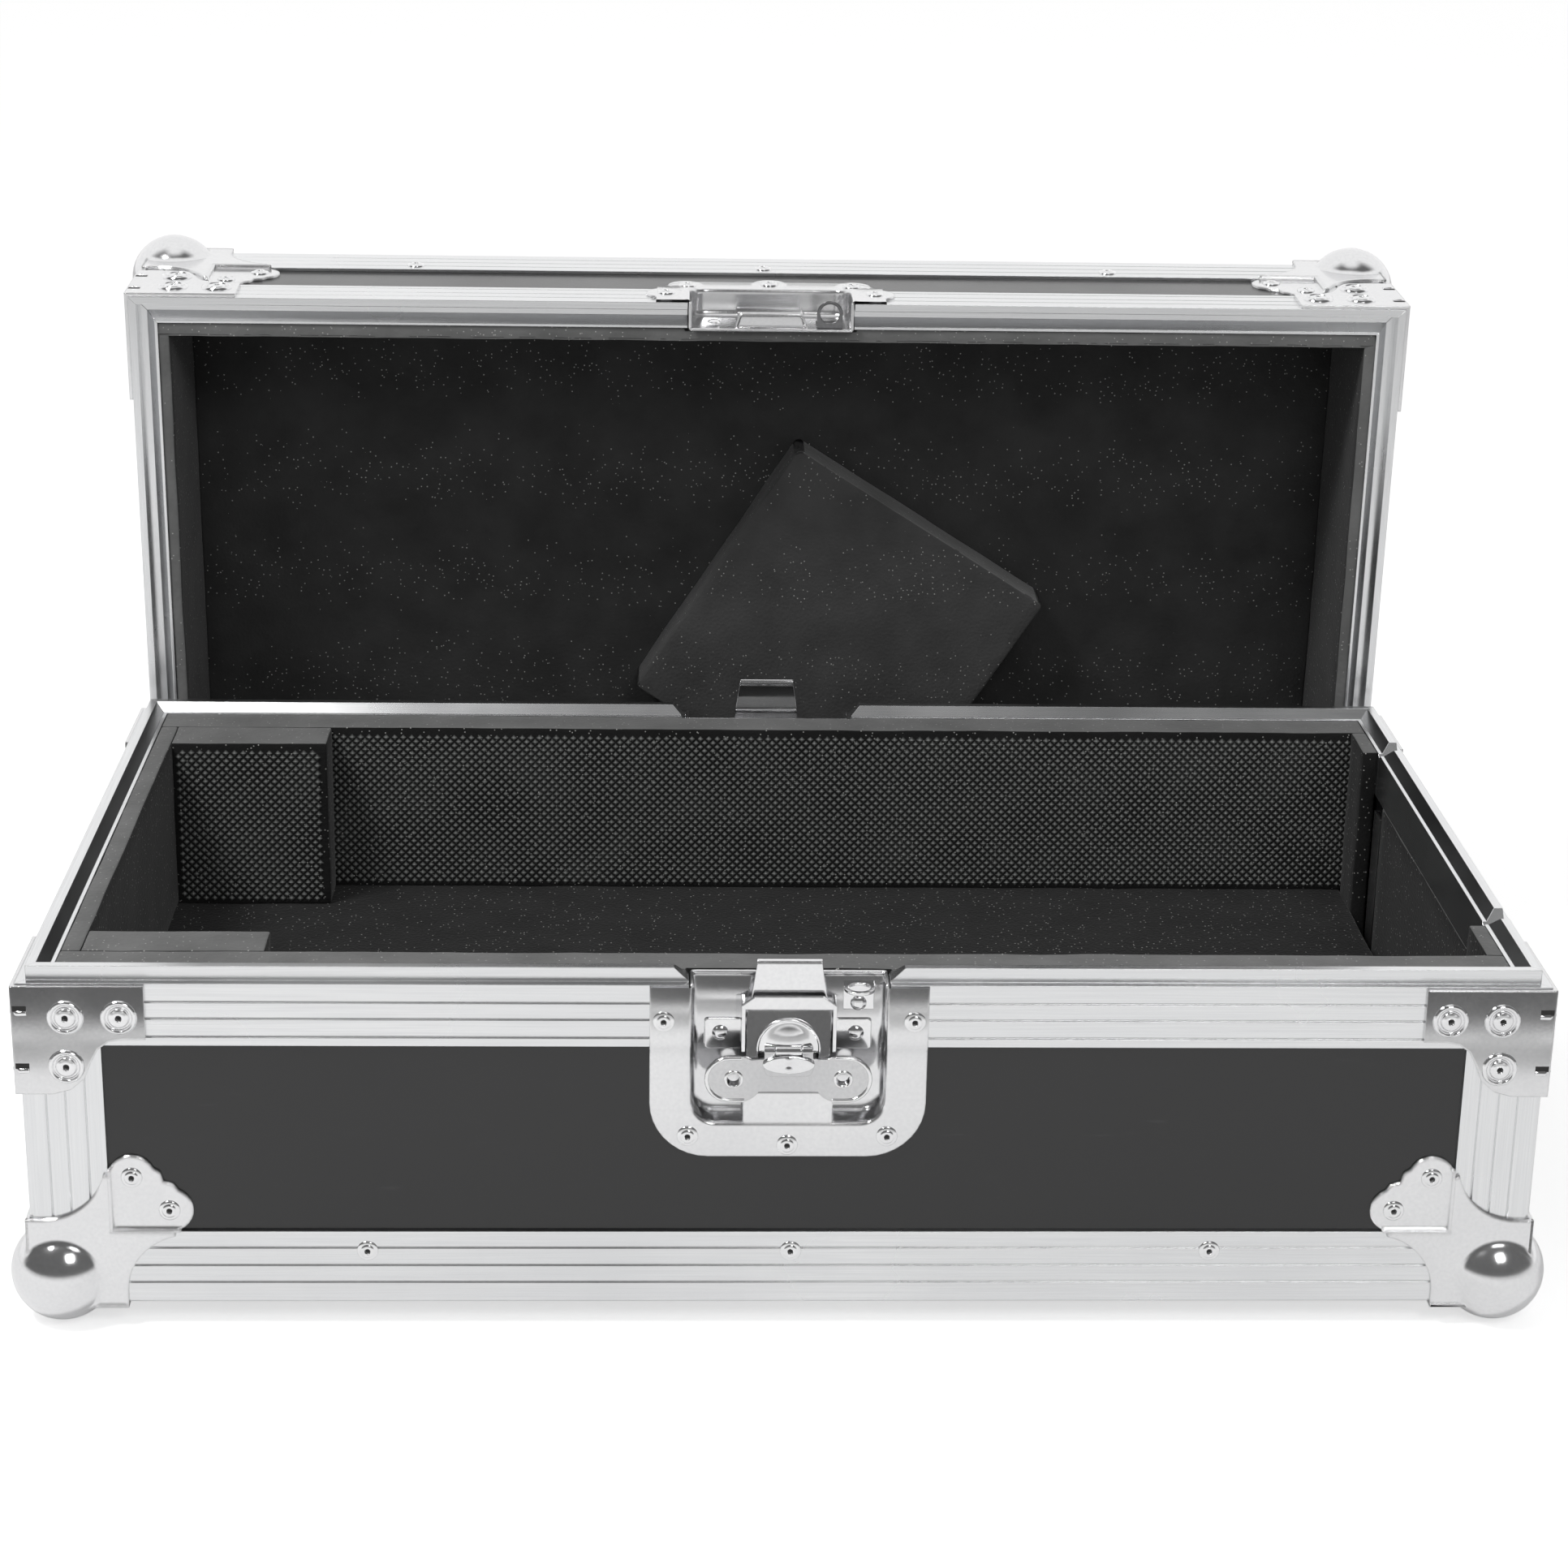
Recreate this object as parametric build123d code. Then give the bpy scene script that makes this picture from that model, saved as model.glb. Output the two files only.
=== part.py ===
from build123d import *
from math import cos, radians, sin
import os

# Flight case for a table-top mixer: a plywood base tray and a lift-off lid, both edged in aluminium
# angle. The base sits flat with its opening up. The lid stands on edge behind it, opening forward.
# All sizes in mm. Each tray is drawn with its opening plane at z = 0, x from -WIDTH/2 to WIDTH/2,
# y from 0 (south wall) to DEPTH (north wall) and its closed face at z = -height.

# Driving dimensions
WIDTH = 565.0           # over the edge angles
DEPTH = 321.0
BASE_HEIGHT = 130.5     # closed face to opening plane
LID_HEIGHT = 88.0
LID_BEHIND = 344.0      # lid's lower front edge, behind the base's front face
LID_LEAN = 2.5          # degrees, towards the base
PLY = 9.0
SKIN = 1.5              # wall of the extruded angles
EDGE = 30.0             # leg of the edge angle
RIM_FACE = 24.6         # height of the rim's outer face
BALL_R = 19.7
BALL_INSET = 10.0       # ball centre, inside each face
FLOOR_GAP = 9.5         # closed face of the base above the ground

# The double angle: where its parts lie, measured inwards from the outer face
PLY_OUT = SKIN
PLY_IN = SKIN + PLY
LINER = 12.0            # inner face of the inner legs
PLY_END = 11.5          # the sheets stop this far from the outer corner
INNER_LEG = 22.0
GROOVE_DEPTH = 0.5
GROOVE_PITCHES = (8.9, 16.0, 23.3)
RIM_GROOVES = (7.2, 13.8, 21.0)
RIM_INNER = 18.0
TONGUE_OUT = 3.5
TONGUE_TOP = 5.5

# Latch opening in each long wall
NOTCH = 37.0            # half width of the cut in the rims
DISH = 35.9             # half width of the dish
DISH_DEEP = 55.5
KEEPER_DEEP = 27.0
SHEET = 1.0             # wall of the dish
DISH_BACK = 12.0
PLATE = 1.2             # latch flanges, brackets and wing
STEP = 0.05             # gap beside the edge of an extrusion where a flange steps over it
CAM_H = -26.5           # latch spindle, below the opening plane
THROW = 4.8             # crank pin to spindle
HOOK_RISE = 2 * THROW
HOOK_OUT = 4.2          # depths of the hook plate's faces
HOOK_IN = 5.7
ROLL_H = 6.6            # rolled bar of the hook when it is low
ROLL_R = 1.6
DISC_R = 12.0
DISC_OUT = 2.75         # depths of the cam disc's faces
DISC_IN = 4.0
SPINDLE_R = 3.2
CRANK_R = 1.5
PIN_R = 1.2             # pivot pin of the wing
PIN_D = 0.6
KNUCKLE_R = 2.1
KNUCKLE = 4.8           # half width of the cam's lug
LOBE_X = 20.3           # middle of the wing's lobes
LOBE_H = -37.2
FIT = 0.05
RING_X = 26.0           # padlock ring, along the wall

# Lift-out end panel
ACCESS = 100.0          # half width of its opening in the rim
ACCESS_GAP = 0.3        # beside the lift-out piece
GUIDE_FLANGE = 12.0

# Soft lining
FLOOR_FOAM = 56.0       # top, above the closed face
FOAM_TOP = 1.5          # wall lining, above the opening plane
LID_LINING = 5.0
LID_FOAM_FACE = 72.0    # inner face of the lid's top lining, from the opening plane
PAD = 140.0
PAD_THICK = 22.0
PAD_CENTRE = (36.5, 143.0)
PAD_TURN = -32.7

LEAN = radians(LID_LEAN)
LID_REAR = LID_BEHIND - BALL_INSET * sin(LEAN) + (LID_HEIGHT - BALL_INSET) * cos(LEAN) + BALL_R
Y_MID = (LID_REAR - (BALL_R - BALL_INSET)) / 2
BALL_Z = FLOOR_GAP + BALL_INSET
LID_Z = BALL_Z - BALL_INSET * cos(LEAN) - (LID_HEIGHT - BALL_INSET) * sin(LEAN)
BASE = Pos(0, -Y_MID, FLOOR_GAP + BASE_HEIGHT)
LID = Plane(
    origin=(0, LID_BEHIND - Y_MID, LID_Z), x_dir=(1, 0, 0), z_dir=(0, -cos(LEAN), -sin(LEAN))
).location


def save(name, *solids):
    """Write one node: a single solid, or like pieces as separate solids."""
    shape = solids[0] if len(solids) == 1 else Compound(children=list(solids))
    export_step(shape, f"parts/{name}.step")


def solid(shape):
    """The one solid of a shape."""
    found = shape.solids()
    assert len(found) == 1, f"expected one solid, got {len(found)}"
    return found[0]


def block(x, y, z):
    """A box from its three ranges."""
    size = [hi - lo for lo, hi in (x, y, z)]
    middle = [(hi + lo) / 2 for lo, hi in (x, y, z)]
    return Pos(*middle) * Box(*size)


def outline(*points):
    return make_face(Polyline(*points, close=True))


# Wall frame: x runs along a wall, y is height above the opening plane and z points outwards, with
# its origin on the wall's outer face at mid length. Depth d is measured inwards, so z = -d.
WALLS = {
    "south": Plane(origin=(0, 0, 0), x_dir=(1, 0, 0), z_dir=(0, -1, 0)).location,
    "north": Plane(origin=(0, DEPTH, 0), x_dir=(-1, 0, 0), z_dir=(0, 1, 0)).location,
    "east": Plane(origin=(WIDTH / 2, DEPTH / 2, 0), x_dir=(0, 1, 0), z_dir=(1, 0, 0)).location,
    "west": Plane(origin=(-WIDTH / 2, DEPTH / 2, 0), x_dir=(0, -1, 0), z_dir=(-1, 0, 0)).location,
}
SECTION = Plane(origin=(0, 0, 0), x_dir=(0, 0, -1), z_dir=(1, 0, 0))


def length_of(side):
    return WIDTH if side in ("south", "north") else DEPTH


def bar(section, start, end):
    """A section in (d, height), run along the wall from start to end."""
    return Pos(start, 0, 0) * extrude(SECTION * section, amount=end - start, dir=(1, 0, 0))


def plate(face, outer, inner):
    """A flat shape in (x, height), between two depths."""
    return Pos(0, 0, -inner) * extrude(face, amount=inner - outer, dir=(0, 0, 1))


def mitred(piece, length):
    """Cut both ends of a full-length bar at 45 degrees, for the corners."""
    half = length / 2
    over = 5.0
    deep = 45.0
    keep = outline(
        (-half - over, over), (half + over, over), (half - deep, -deep), (-half + deep, -deep)
    )
    upright = Plane(origin=(0, 0, 0), x_dir=(1, 0, 0), z_dir=(0, -1, 0))
    return piece & extrude(upright * keep, amount=300, both=True)


def grooves(spots, horizontal):
    """Corner points of the fine grooves pressed into an outer face."""
    points = []
    for spot in spots:
        for along, deep in ((-GROOVE_DEPTH, 0), (0, GROOVE_DEPTH), (GROOVE_DEPTH, 0)):
            points.append((spot + along, deep) if horizontal else (deep, spot + along))
    return points


def edge_section():
    """Double angle: outer legs with grooves, inner legs that grip the sheets, diagonal web."""
    web = 0.85
    side = grooves(GROOVE_PITCHES, False)[::-1]
    under = grooves(GROOVE_PITCHES, True)
    inner = PLY_IN + web
    leg = PLY_IN + PLATE
    face = outline(
        (0, EDGE), *side, (0, 0), *under, (EDGE, 0), (EDGE, SKIN), (SKIN + web, SKIN),
        (inner, PLY_IN), (INNER_LEG, PLY_IN), (INNER_LEG, leg), (leg, leg), (leg, INNER_LEG),
        (PLY_IN, INNER_LEG), (PLY_IN, inner), (SKIN, SKIN + web), (SKIN, EDGE),
    )
    return fillet(face.vertices().sort_by_distance((0, 0, 0))[0], 2.0)


def base_rim_section():
    """Rim with the tongue: ledge, raised tongue, slope to an inner ledge, slot for the sheet."""
    face = [(deep, -spot) for deep, spot in grooves(RIM_GROOVES, False)]
    return outline(
        (0, 0), *face, (0, -RIM_FACE), (SKIN, -RIM_FACE), (SKIN, -2.0), (PLY_IN, -2.0),
        (PLY_IN, -RIM_INNER), (LINER, -RIM_INNER), (LINER, 1.5), (10.4, 1.5), (6.9, TONGUE_TOP),
        (TONGUE_OUT, TONGUE_TOP), (TONGUE_OUT, 0),
    )


def lid_rim_section():
    """Rim with the groove that takes the tongue."""
    face = [(deep, -spot) for deep, spot in grooves(RIM_GROOVES, False)]
    return outline(
        (0, 0), *face, (0, -RIM_FACE), (SKIN, -RIM_FACE), (SKIN, -8.0), (PLY_IN, -8.0),
        (PLY_IN, -RIM_INNER), (LINER, -RIM_INNER), (LINER, -1.9), (10.8, -1.9), (7.2, -6.0),
        (3.3, -6.0), (3.3, 0),
    )


def notch_cut(half):
    """The gap cut in a rim, with the tongue's ends bevelled back."""
    slope = 7.0
    face = outline(
        (-half, -40), (half, -40), (half, 0), (half + slope, slope), (-half - slope, slope),
        (-half, 0),
    )
    return plate(face, -5, 20)


def run(side, section, cut=None):
    """One edge of a tray, mitred at both ends, less a cut."""
    length = length_of(side)
    piece = mitred(bar(section, -length / 2, length / 2), length)
    if cut:
        piece -= cut
    return WALLS[side] * piece


def edge_angle(side, height):
    """Edge angle between a wall and the closed face."""
    length = length_of(side)
    piece = mitred(bar(edge_section(), -length / 2, length / 2), length)
    return WALLS[side] * (Pos(0, -height, 0) * piece)


def corners():
    """Places of the four corners of a tray: location and the turn that faces each inwards."""
    spots = ((-1, 0, 0), (1, 0, 90), (1, 1, 180), (-1, 1, 270))
    return [Pos(sx * WIDTH / 2, sy * DEPTH, 0) * Rot(0, 0, turn) for sx, sy, turn in spots]


def uprights(height):
    """The four corner angles between the rim and the closed face's edge angles."""
    tall = height - RIM_FACE - EDGE
    piece = Pos(0, 0, -height + EDGE) * extrude(edge_section(), amount=tall, dir=(0, 0, 1))
    return [place * piece for place in corners()]


def wall_sheet(side, height, top, start, end, cut=None):
    """Plywood wall between its slots."""
    face = outline((start, -height + PLY_END), (end, -height + PLY_END), (end, top), (start, top))
    if cut:
        face -= cut
    return WALLS[side] * plate(face, PLY_OUT, PLY_IN)


def closed_sheet(height):
    """Plywood floor of the base, or top of the lid."""
    across = (-WIDTH / 2 + PLY_END, WIDTH / 2 - PLY_END)
    return block(across, (PLY_END, DEPTH - PLY_END), (-height + PLY_OUT, -height + PLY_IN))


def dish_opening(deep, grow, radius, top):
    """Outline of a latch recess: straight sides, rounded lower corners."""
    half = DISH + grow
    shape = outline((-half, -deep - grow), (half, -deep - grow), (half, top), (-half, top))
    low = shape.vertices().group_by(Axis.Y)[0]
    return fillet(low, radius + grow)


def recess(deep, radius, width, flange_deep, flange_radius):
    """Pressed recess: flange stepped over the rim, side walls and back."""
    top = -0.5
    on_sheet = PLY_OUT - PLATE
    step = -RIM_FACE - STEP
    lower = step - PLATE
    half = width
    big = outline((-half, -flange_deep), (half, -flange_deep), (half, top), (-half, top))
    big = fillet(big.vertices().group_by(Axis.Y)[0], flange_radius)
    hole = dish_opening(deep, 0, radius, 10)
    wall = dish_opening(deep, SHEET, radius, top)
    flange = big - hole
    side = wall - hole
    over_rim = Pos(0, (lower + 20) / 2) * Rectangle(200, 20 - lower)
    on_ply = Pos(0, (step - 200) / 2) * Rectangle(200, 200 + step)
    link = Pos(0, (step + lower) / 2) * Rectangle(200, PLATE)
    body = plate(flange & over_rim, -PLATE, 0) + plate(flange & on_ply, on_sheet, PLY_OUT)
    body += plate(flange & link, -PLATE, PLY_OUT)
    body += plate(side & over_rim, -PLATE, DISH_BACK) + plate(side & on_ply, on_sheet, DISH_BACK)
    body += plate(wall, DISH_BACK, DISH_BACK + SHEET)
    return body


# Butterfly latch, drawn once in the wall frame with its wing folded down and its hook low


def latch_dish():
    """Recessed dish with the rest pad below the wing and the spindle's hole."""
    body = recess(DISH_DEEP, 9.0, 51.5, 69.5, 22.0)
    pad = outline((-16.8, -DISH_DEEP - 0.5), (16.8, -DISH_DEEP - 0.5), (16.8, -42.8), (-16.8, -42.8))
    body += plate(pad, 0.5, DISH_BACK + 0.5)
    body -= plate(Pos(0, CAM_H) * Circle(SPINDLE_R + FIT), 5, 20)
    return solid(body)


def latch_bridge():
    """Folded bracket riveted to the dish: it keeps the hook and cam in place."""
    inner = 16.2
    outer = 17.5
    bar_face = outline((-outer, -10), (outer, -10), (outer, -8.6), (12.6, -5), (-12.6, -5),
                       (-outer, -8.6))
    body = plate(bar_face, 0.8, 2.2)
    for hand in (-1, 1):
        wall = block(sorted((hand * inner, hand * outer)), (-27, -8.6), (-DISH_BACK, -0.8))
        ear = Pos(hand * 24.0, -24) * RectangleRounded(14.0, 12.0, 1.5)
        body += wall + plate(ear, DISH_BACK - PLATE, DISH_BACK)
    return solid(body)


def padlock_ring(centre, hole_depth, hole_r, height, leg_end):
    """Small angle plate: a leg on the back of the recess and a rounded tab with a hole."""
    wide = 5.7
    tab = Plane.XZ * (
        Pos(centre, -hole_depth) * Circle(wide)
        + Pos(centre, -(hole_depth + DISH_BACK) / 2) * Rectangle(2 * wide, DISH_BACK - hole_depth)
        - Pos(centre, -hole_depth) * Circle(hole_r)
    )
    body = Pos(0, height, 0) * extrude(tab, amount=PLATE, dir=(0, 1, 0))
    low, high = sorted((height, leg_end))
    return body + block((centre - wide, centre + wide), (low, high), (-DISH_BACK, PLATE - DISH_BACK))


def latch_hook():
    """Hook plate: a fork astride the spindle, a cross slot for the crank pin, and a rolled bar that
    pulls on the keeper's ridge."""
    low = -42.0
    face = outline((-12, ROLL_H), (-14.3, -9), (-15.6, -15), (-15.6, low), (15.6, low), (15.6, -15),
                   (14.3, -9), (12, ROLL_H))
    fork = SPINDLE_R + 0.4
    top = CAM_H + fork
    slot = Pos(0, (top + low - 5) / 2) * Rectangle(2 * fork, top - low + 5)
    slot += Pos(0, CAM_H) * Circle(fork)
    # the cross slot has room for the pin's path, which isn't quite in step with the hook's travel
    cross = Pos(0, CAM_H - THROW) * RectangleRounded(2 * (THROW + CRANK_R + 0.4), 5.6, 1.5)
    roll = Pos(0, ROLL_H, -HOOK_OUT - ROLL_R) * Rot(0, 90, 0) * Cylinder(ROLL_R, 24)
    return solid(plate(face - slot - cross, HOOK_OUT, HOOK_IN) + roll)


def latch_cam():
    """Cam disc on its spindle, with a lug for the wing in front."""
    disc = plate(Pos(0, CAM_H) * Circle(DISC_R), DISC_OUT, DISC_IN)
    spindle = plate(Pos(0, CAM_H) * Circle(SPINDLE_R), DISC_OUT, DISH_BACK + SHEET)
    lug = plate(Pos(0, CAM_H) * Rectangle(2 * KNUCKLE, 2 * KNUCKLE_R), PIN_D, DISC_IN)
    knuckle = Pos(0, CAM_H, -PIN_D) * Rot(0, 90, 0) * Cylinder(KNUCKLE_R, 2 * KNUCKLE)
    bore = Pos(0, CAM_H, -PIN_D) * Rot(0, 90, 0) * Cylinder(PIN_R, 30)
    return solid(disc + spindle + lug + knuckle - bore)


def latch_pins():
    """The wing's pivot pin, fixed in the cam's lug, and the crank pin riveted behind the disc."""
    pivot = Pos(0, CAM_H, -PIN_D) * Rot(0, 90, 0) * Cylinder(PIN_R, 18)
    crank = plate(Pos(0, CAM_H - THROW) * Circle(CRANK_R), DISC_IN, HOOK_IN + 0.4)
    return [solid(pivot), solid(crank)]


def latch_wing():
    """Two-lobed wing on two knuckles, with a raised thumb rest between the lobes."""
    waist = outline((-18, -29.6), (-9, -29.0), (9, -29.0), (18, -29.6), (20, -40), (14, -42.2),
                    (-14, -42.2), (-20, -40))
    face = Sketch() + waist
    for hand in (-1, 1):
        face += Pos(hand * LOBE_X, LOBE_H) * RectangleRounded(21.6, 18.4, 9.1)
    for hand in (-1, 1):
        face -= Pos(hand * LOBE_X, LOBE_H) * Circle(2.7)
    body = plate(face, -PLATE, 0)
    body += plate(Pos(0, -32.6) * RectangleRounded(18.0, 6.4, 2.8), -PLATE - 0.6, 0)
    for hand in (-1, 1):
        arm = Pos(hand * 7.0, (CAM_H - 30) / 2) * Rectangle(4.0, 30 + CAM_H)
        body += plate(arm, -PLATE, 0)
        place = Pos(hand * 7.0, CAM_H, -PIN_D) * Rot(0, 90, 0)
        body += place * Cylinder(KNUCKLE_R - 0.1, 4.0)
    body -= Pos(0, CAM_H, -PIN_D) * Rot(0, 90, 0) * Cylinder(PIN_R + FIT, 30)
    return solid(body)


def lid_keeper():
    """Recess in the lid with the ridge that the hook pulls on, and a rest pad behind it."""
    body = recess(KEEPER_DEEP, 8.0, 52.0, 42.0, 20.0)
    ridge = Plane.XZ * outline((-16, -DISH_BACK - 0.5), (16, -DISH_BACK - 0.5), (13, -6.2), (-13, -6.2))
    body += Pos(0, -5.0, 0) * extrude(ridge, amount=2.5, dir=(0, 1, 0))
    body += plate(Pos(0, -19.2) * RectangleRounded(30, 7.5, 2.0), 8.0, DISH_BACK + 0.5)
    return solid(body)


def ball_corner():
    """Pressed corner: a ball on three legs, with a lobed, riveted tab stepped down on each sheet.
    Drawn at the origin, the case filling the positive octant."""
    leg = 35.5
    thick = SKIN
    inside = EDGE + STEP
    one = outline(
        (0, 0), (leg, 0), (leg, 5), (37.2, 14.0), (41.3, 21.0), (47.8, 26.3), (56, 29.5),
        (60.2, 34.6), (60.2, 43.0), (54.5, 50), (50.4, 50.8),
    )
    face = one + mirror(one, about=Plane(origin=(0, 0, 0), z_dir=(1, -1, 0)))
    tab = face & (Pos(inside + 50, inside + 50) * Rectangle(100, 100))
    core = tab & (Pos(inside + thick + 50, inside + thick + 50) * Rectangle(100, 100))
    flat = face - core
    level = Pos(0, 0, -thick) * extrude(flat, amount=thick, dir=(0, 0, 1))
    sunk = Pos(0, 0, PLY_OUT - PLATE) * extrude(tab, amount=PLATE, dir=(0, 0, 1))
    sunk += Pos(0, 0, -thick) * extrude(tab - core, amount=thick + PLY_OUT, dir=(0, 0, 1))
    rim = block((-thick, leg), (-thick, 0), (-thick, 0))
    turns = (Rot(0, 0, 0), Plane(origin=(0, 0, 0), x_dir=(0, 1, 0), z_dir=(1, 0, 0)).location,
             Plane(origin=(0, 0, 0), x_dir=(0, 0, 1), z_dir=(0, 1, 0)).location)
    middle = (BALL_INSET, BALL_INSET, BALL_INSET)
    body = Plane(origin=middle, z_dir=(1, 1, 1)).location * Sphere(BALL_R)
    body -= block((0, 100), (0, 100), (0, 100))
    for turn in turns:
        body += turn * level
        body += turn * rim
    for turn in turns:
        body += turn * sunk
    return solid(body)


def rim_corner():
    """Bent plate round the rim's corner, drawn at the origin with the case at x > 0, y > 0."""
    proud = 1.7
    top = -0.5
    face = outline(
        (-proud, top), (46.7, top), (46.7, -21.6), (38, -21.6), (33.2, -22.6), (29.2, -25.6),
        (26.4, -30.9), (23.8, -37.2), (18.8, -41.6), (12, -43.5), (-proud, -43.5),
    )
    south = Plane(origin=(0, 0, 0), x_dir=(1, 0, 0), z_dir=(0, -1, 0)) * face
    piece = extrude(south, amount=proud, dir=(0, -1, 0))
    turned = mirror(piece, about=Plane(origin=(0, 0, 0), z_dir=(1, -1, 0)))
    return solid(piece + turned)


def on_ground(piece):
    """Cut the tiny flat where a ball stands on the ground."""
    return solid(piece - block((-400, 400), (-400, 400), (-50, 0)))


# Base


def make_base():
    rim = base_rim_section()
    latch_cut = notch_cut(NOTCH)
    cut = outline((-NOTCH, -56.8), (NOTCH, -56.8), (NOTCH, 5), (-NOTCH, 5))
    half_w = WIDTH / 2 - PLY_END
    half_d = DEPTH / 2 - PLY_END
    stub = ACCESS + PLATE + 0.1
    save("base_floor_panel", BASE * closed_sheet(BASE_HEIGHT))
    for name, side in (("front", "south"), ("rear", "north")):
        sheet = wall_sheet(side, BASE_HEIGHT, -2.0, -half_w, half_w, cut)
        save(f"base_{name}_panel", BASE * sheet)
        save(f"base_{name}_rim", *[BASE * part for part in run(side, rim, latch_cut).solids()])
    save("base_left_panel", BASE * wall_sheet("west", BASE_HEIGHT, -2.0, -half_d, half_d))
    save("base_right_front_panel", BASE * wall_sheet("east", BASE_HEIGHT, -2.0, -half_d, -stub))
    save("base_right_rear_panel", BASE * wall_sheet("east", BASE_HEIGHT, -2.0, stub, half_d))
    save("base_left_rim", BASE * solid(run("west", rim)))
    ends = run("east", rim, notch_cut(ACCESS)).solids().sort_by(Axis.Y)
    save("base_right_front_rim", BASE * ends[0])
    save("base_right_rear_rim", BASE * ends[1])
    for name, sides in (("long", ("south", "north")), ("short", ("west", "east"))):
        edges = [BASE * solid(edge_angle(side, BASE_HEIGHT)) for side in sides]
        save(f"base_{name}_bottom_edges", *edges)
    save("base_uprights", *[BASE * solid(piece) for piece in uprights(BASE_HEIGHT)])
    ball = ball_corner()
    low = [Pos(0, 0, -BASE_HEIGHT) * place * ball for place in corners()]
    save("base_ball_corners", *[on_ground(BASE * piece) for piece in low])
    plate_piece = rim_corner()
    save("base_rim_corners", *[BASE * place * plate_piece for place in corners()])


def make_base_lining():
    """Cut foam glued to the sheets: floor, walls and two corner blocks at the left."""
    left = -WIDTH / 2 + LINER
    right = WIDTH / 2 - LINER
    floor_top = -BASE_HEIGHT + FLOOR_FOAM
    up = (floor_top, FOAM_TOP)
    front_in = 28.0
    rear_in = 291.0
    left_in = -263.0
    right_in = 264.0
    block_in = -195.0
    back = DEPTH - LINER
    room = PLATE
    clear = (-NOTCH - 1, NOTCH + 1)
    leg_top = -BASE_HEIGHT + PLY_IN + PLATE
    clear_of_leg = INNER_LEG + 0.2
    floor = block((left, right_in), (LINER, back), (leg_top, floor_top))
    floor += block((-WIDTH / 2 + clear_of_leg, WIDTH / 2 - clear_of_leg),
                   (clear_of_leg, DEPTH - clear_of_leg), (-BASE_HEIGHT + PLY_IN, floor_top))
    front = block((left, right), (LINER, front_in), up)
    front -= block(clear, (0, LINER + room), (-DISH_DEEP - 2, 5))
    rear = block((left, right), (rear_in, back), up)
    rear -= block(clear, (back - room, DEPTH), (-DISH_DEEP - 2, 5))
    save("base_floor_foam", BASE * solid(floor))
    save("base_front_foam", BASE * solid(front))
    save("base_rear_foam", BASE * solid(rear))
    save("base_left_foam", BASE * block((left, left_in), (front_in, rear_in), up))
    save("base_left_front_block", BASE * block((left_in, block_in), (front_in, 48.0), up))
    save("base_left_rear_block", BASE * block((left_in, block_in), (268.0, rear_in), up))
    for name, y in (("front", (front_in, 58.0)), ("rear", (264.0, rear_in))):
        save(f"base_right_{name}_foam", BASE * block((right_in, right), y, (leg_top, FOAM_TOP)))


def make_access_panel():
    """Lift-out part of the right wall, in two channels, with its own stretch of rim."""
    half = ACCESS - ACCESS_GAP
    rim = bar(base_rim_section(), -half, half)
    slope = 7.0
    keep = outline((-half, -40), (half, -40), (half, 0), (half - slope, slope), (-half + slope, slope),
                   (-half, 0))
    rim = rim & plate(keep, -5, 20)
    save("access_panel_rim", BASE * solid(WALLS["east"] * rim))
    inset = 0.2
    low = -BASE_HEIGHT + PLY_END
    board = outline((-half, low), (half, low), (half, -2.0), (-half, -2.0))
    save("access_panel", BASE * (WALLS["east"] * plate(board, PLY_OUT + inset, PLY_IN - inset)))
    felt_half = half - GUIDE_FLANGE - 2.0
    felt = outline((-felt_half, -BASE_HEIGHT + 25), (felt_half, -BASE_HEIGHT + 25),
                   (felt_half, -18.5), (-felt_half, -18.5))
    save("access_panel_felt", BASE * (WALLS["east"] * plate(felt, PLY_IN - inset, LINER)))
    outer = 0.1
    inner = PLY_IN + inset + PLATE
    corner_tab = 51.0
    tall = (-BASE_HEIGHT + EDGE + 0.1, -RIM_FACE - 0.4)
    channels = []
    for hand in (-1, 1):
        far = hand * (ACCESS + PLATE + 0.1)
        near = hand * (ACCESS + 0.1)
        tip = hand * (ACCESS - GUIDE_FLANGE)
        web = block(sorted((near, far)), tall, (-inner, -outer))
        for deep in (outer, inner - PLATE):
            web += block(sorted((tip, far)), tall, (-deep - PLATE, -deep))
        web -= block(sorted((hand * 99.2, far + hand)), (-BASE_HEIGHT, -BASE_HEIGHT + corner_tab),
                     (-PLY_OUT - 0.1, 0))
        channels.append(BASE * solid(WALLS["east"] * web))
    save("access_panel_guides", *channels)


def make_latches():
    """The front latch as drawn. The rear one half a turn round, its cam and wing turned up."""
    turned = Pos(0, CAM_H, 0) * Rot(0, 0, 180) * Pos(0, -CAM_H, 0)
    raised = Pos(0, HOOK_RISE, 0)
    for name, side, rise, turn in (("front", "south", Pos(0, 0, 0), Pos(0, 0, 0)),
                                   ("rear", "north", raised, turned)):
        place = BASE * WALLS[side]
        save(f"{name}_latch_dish", place * latch_dish())
        save(f"{name}_latch_bridge", place * latch_bridge())
        save(f"{name}_latch_ring", place * solid(padlock_ring(RING_X, 5.9, 4.1, -4.2, -14.0)))
        save(f"{name}_latch_hook", place * rise * latch_hook())
        save(f"{name}_latch_cam", place * turn * latch_cam())
        save(f"{name}_latch_pin", *[place * turn * pin for pin in latch_pins()])
        save(f"{name}_latch_wing", place * turn * latch_wing())


# Lid


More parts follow.
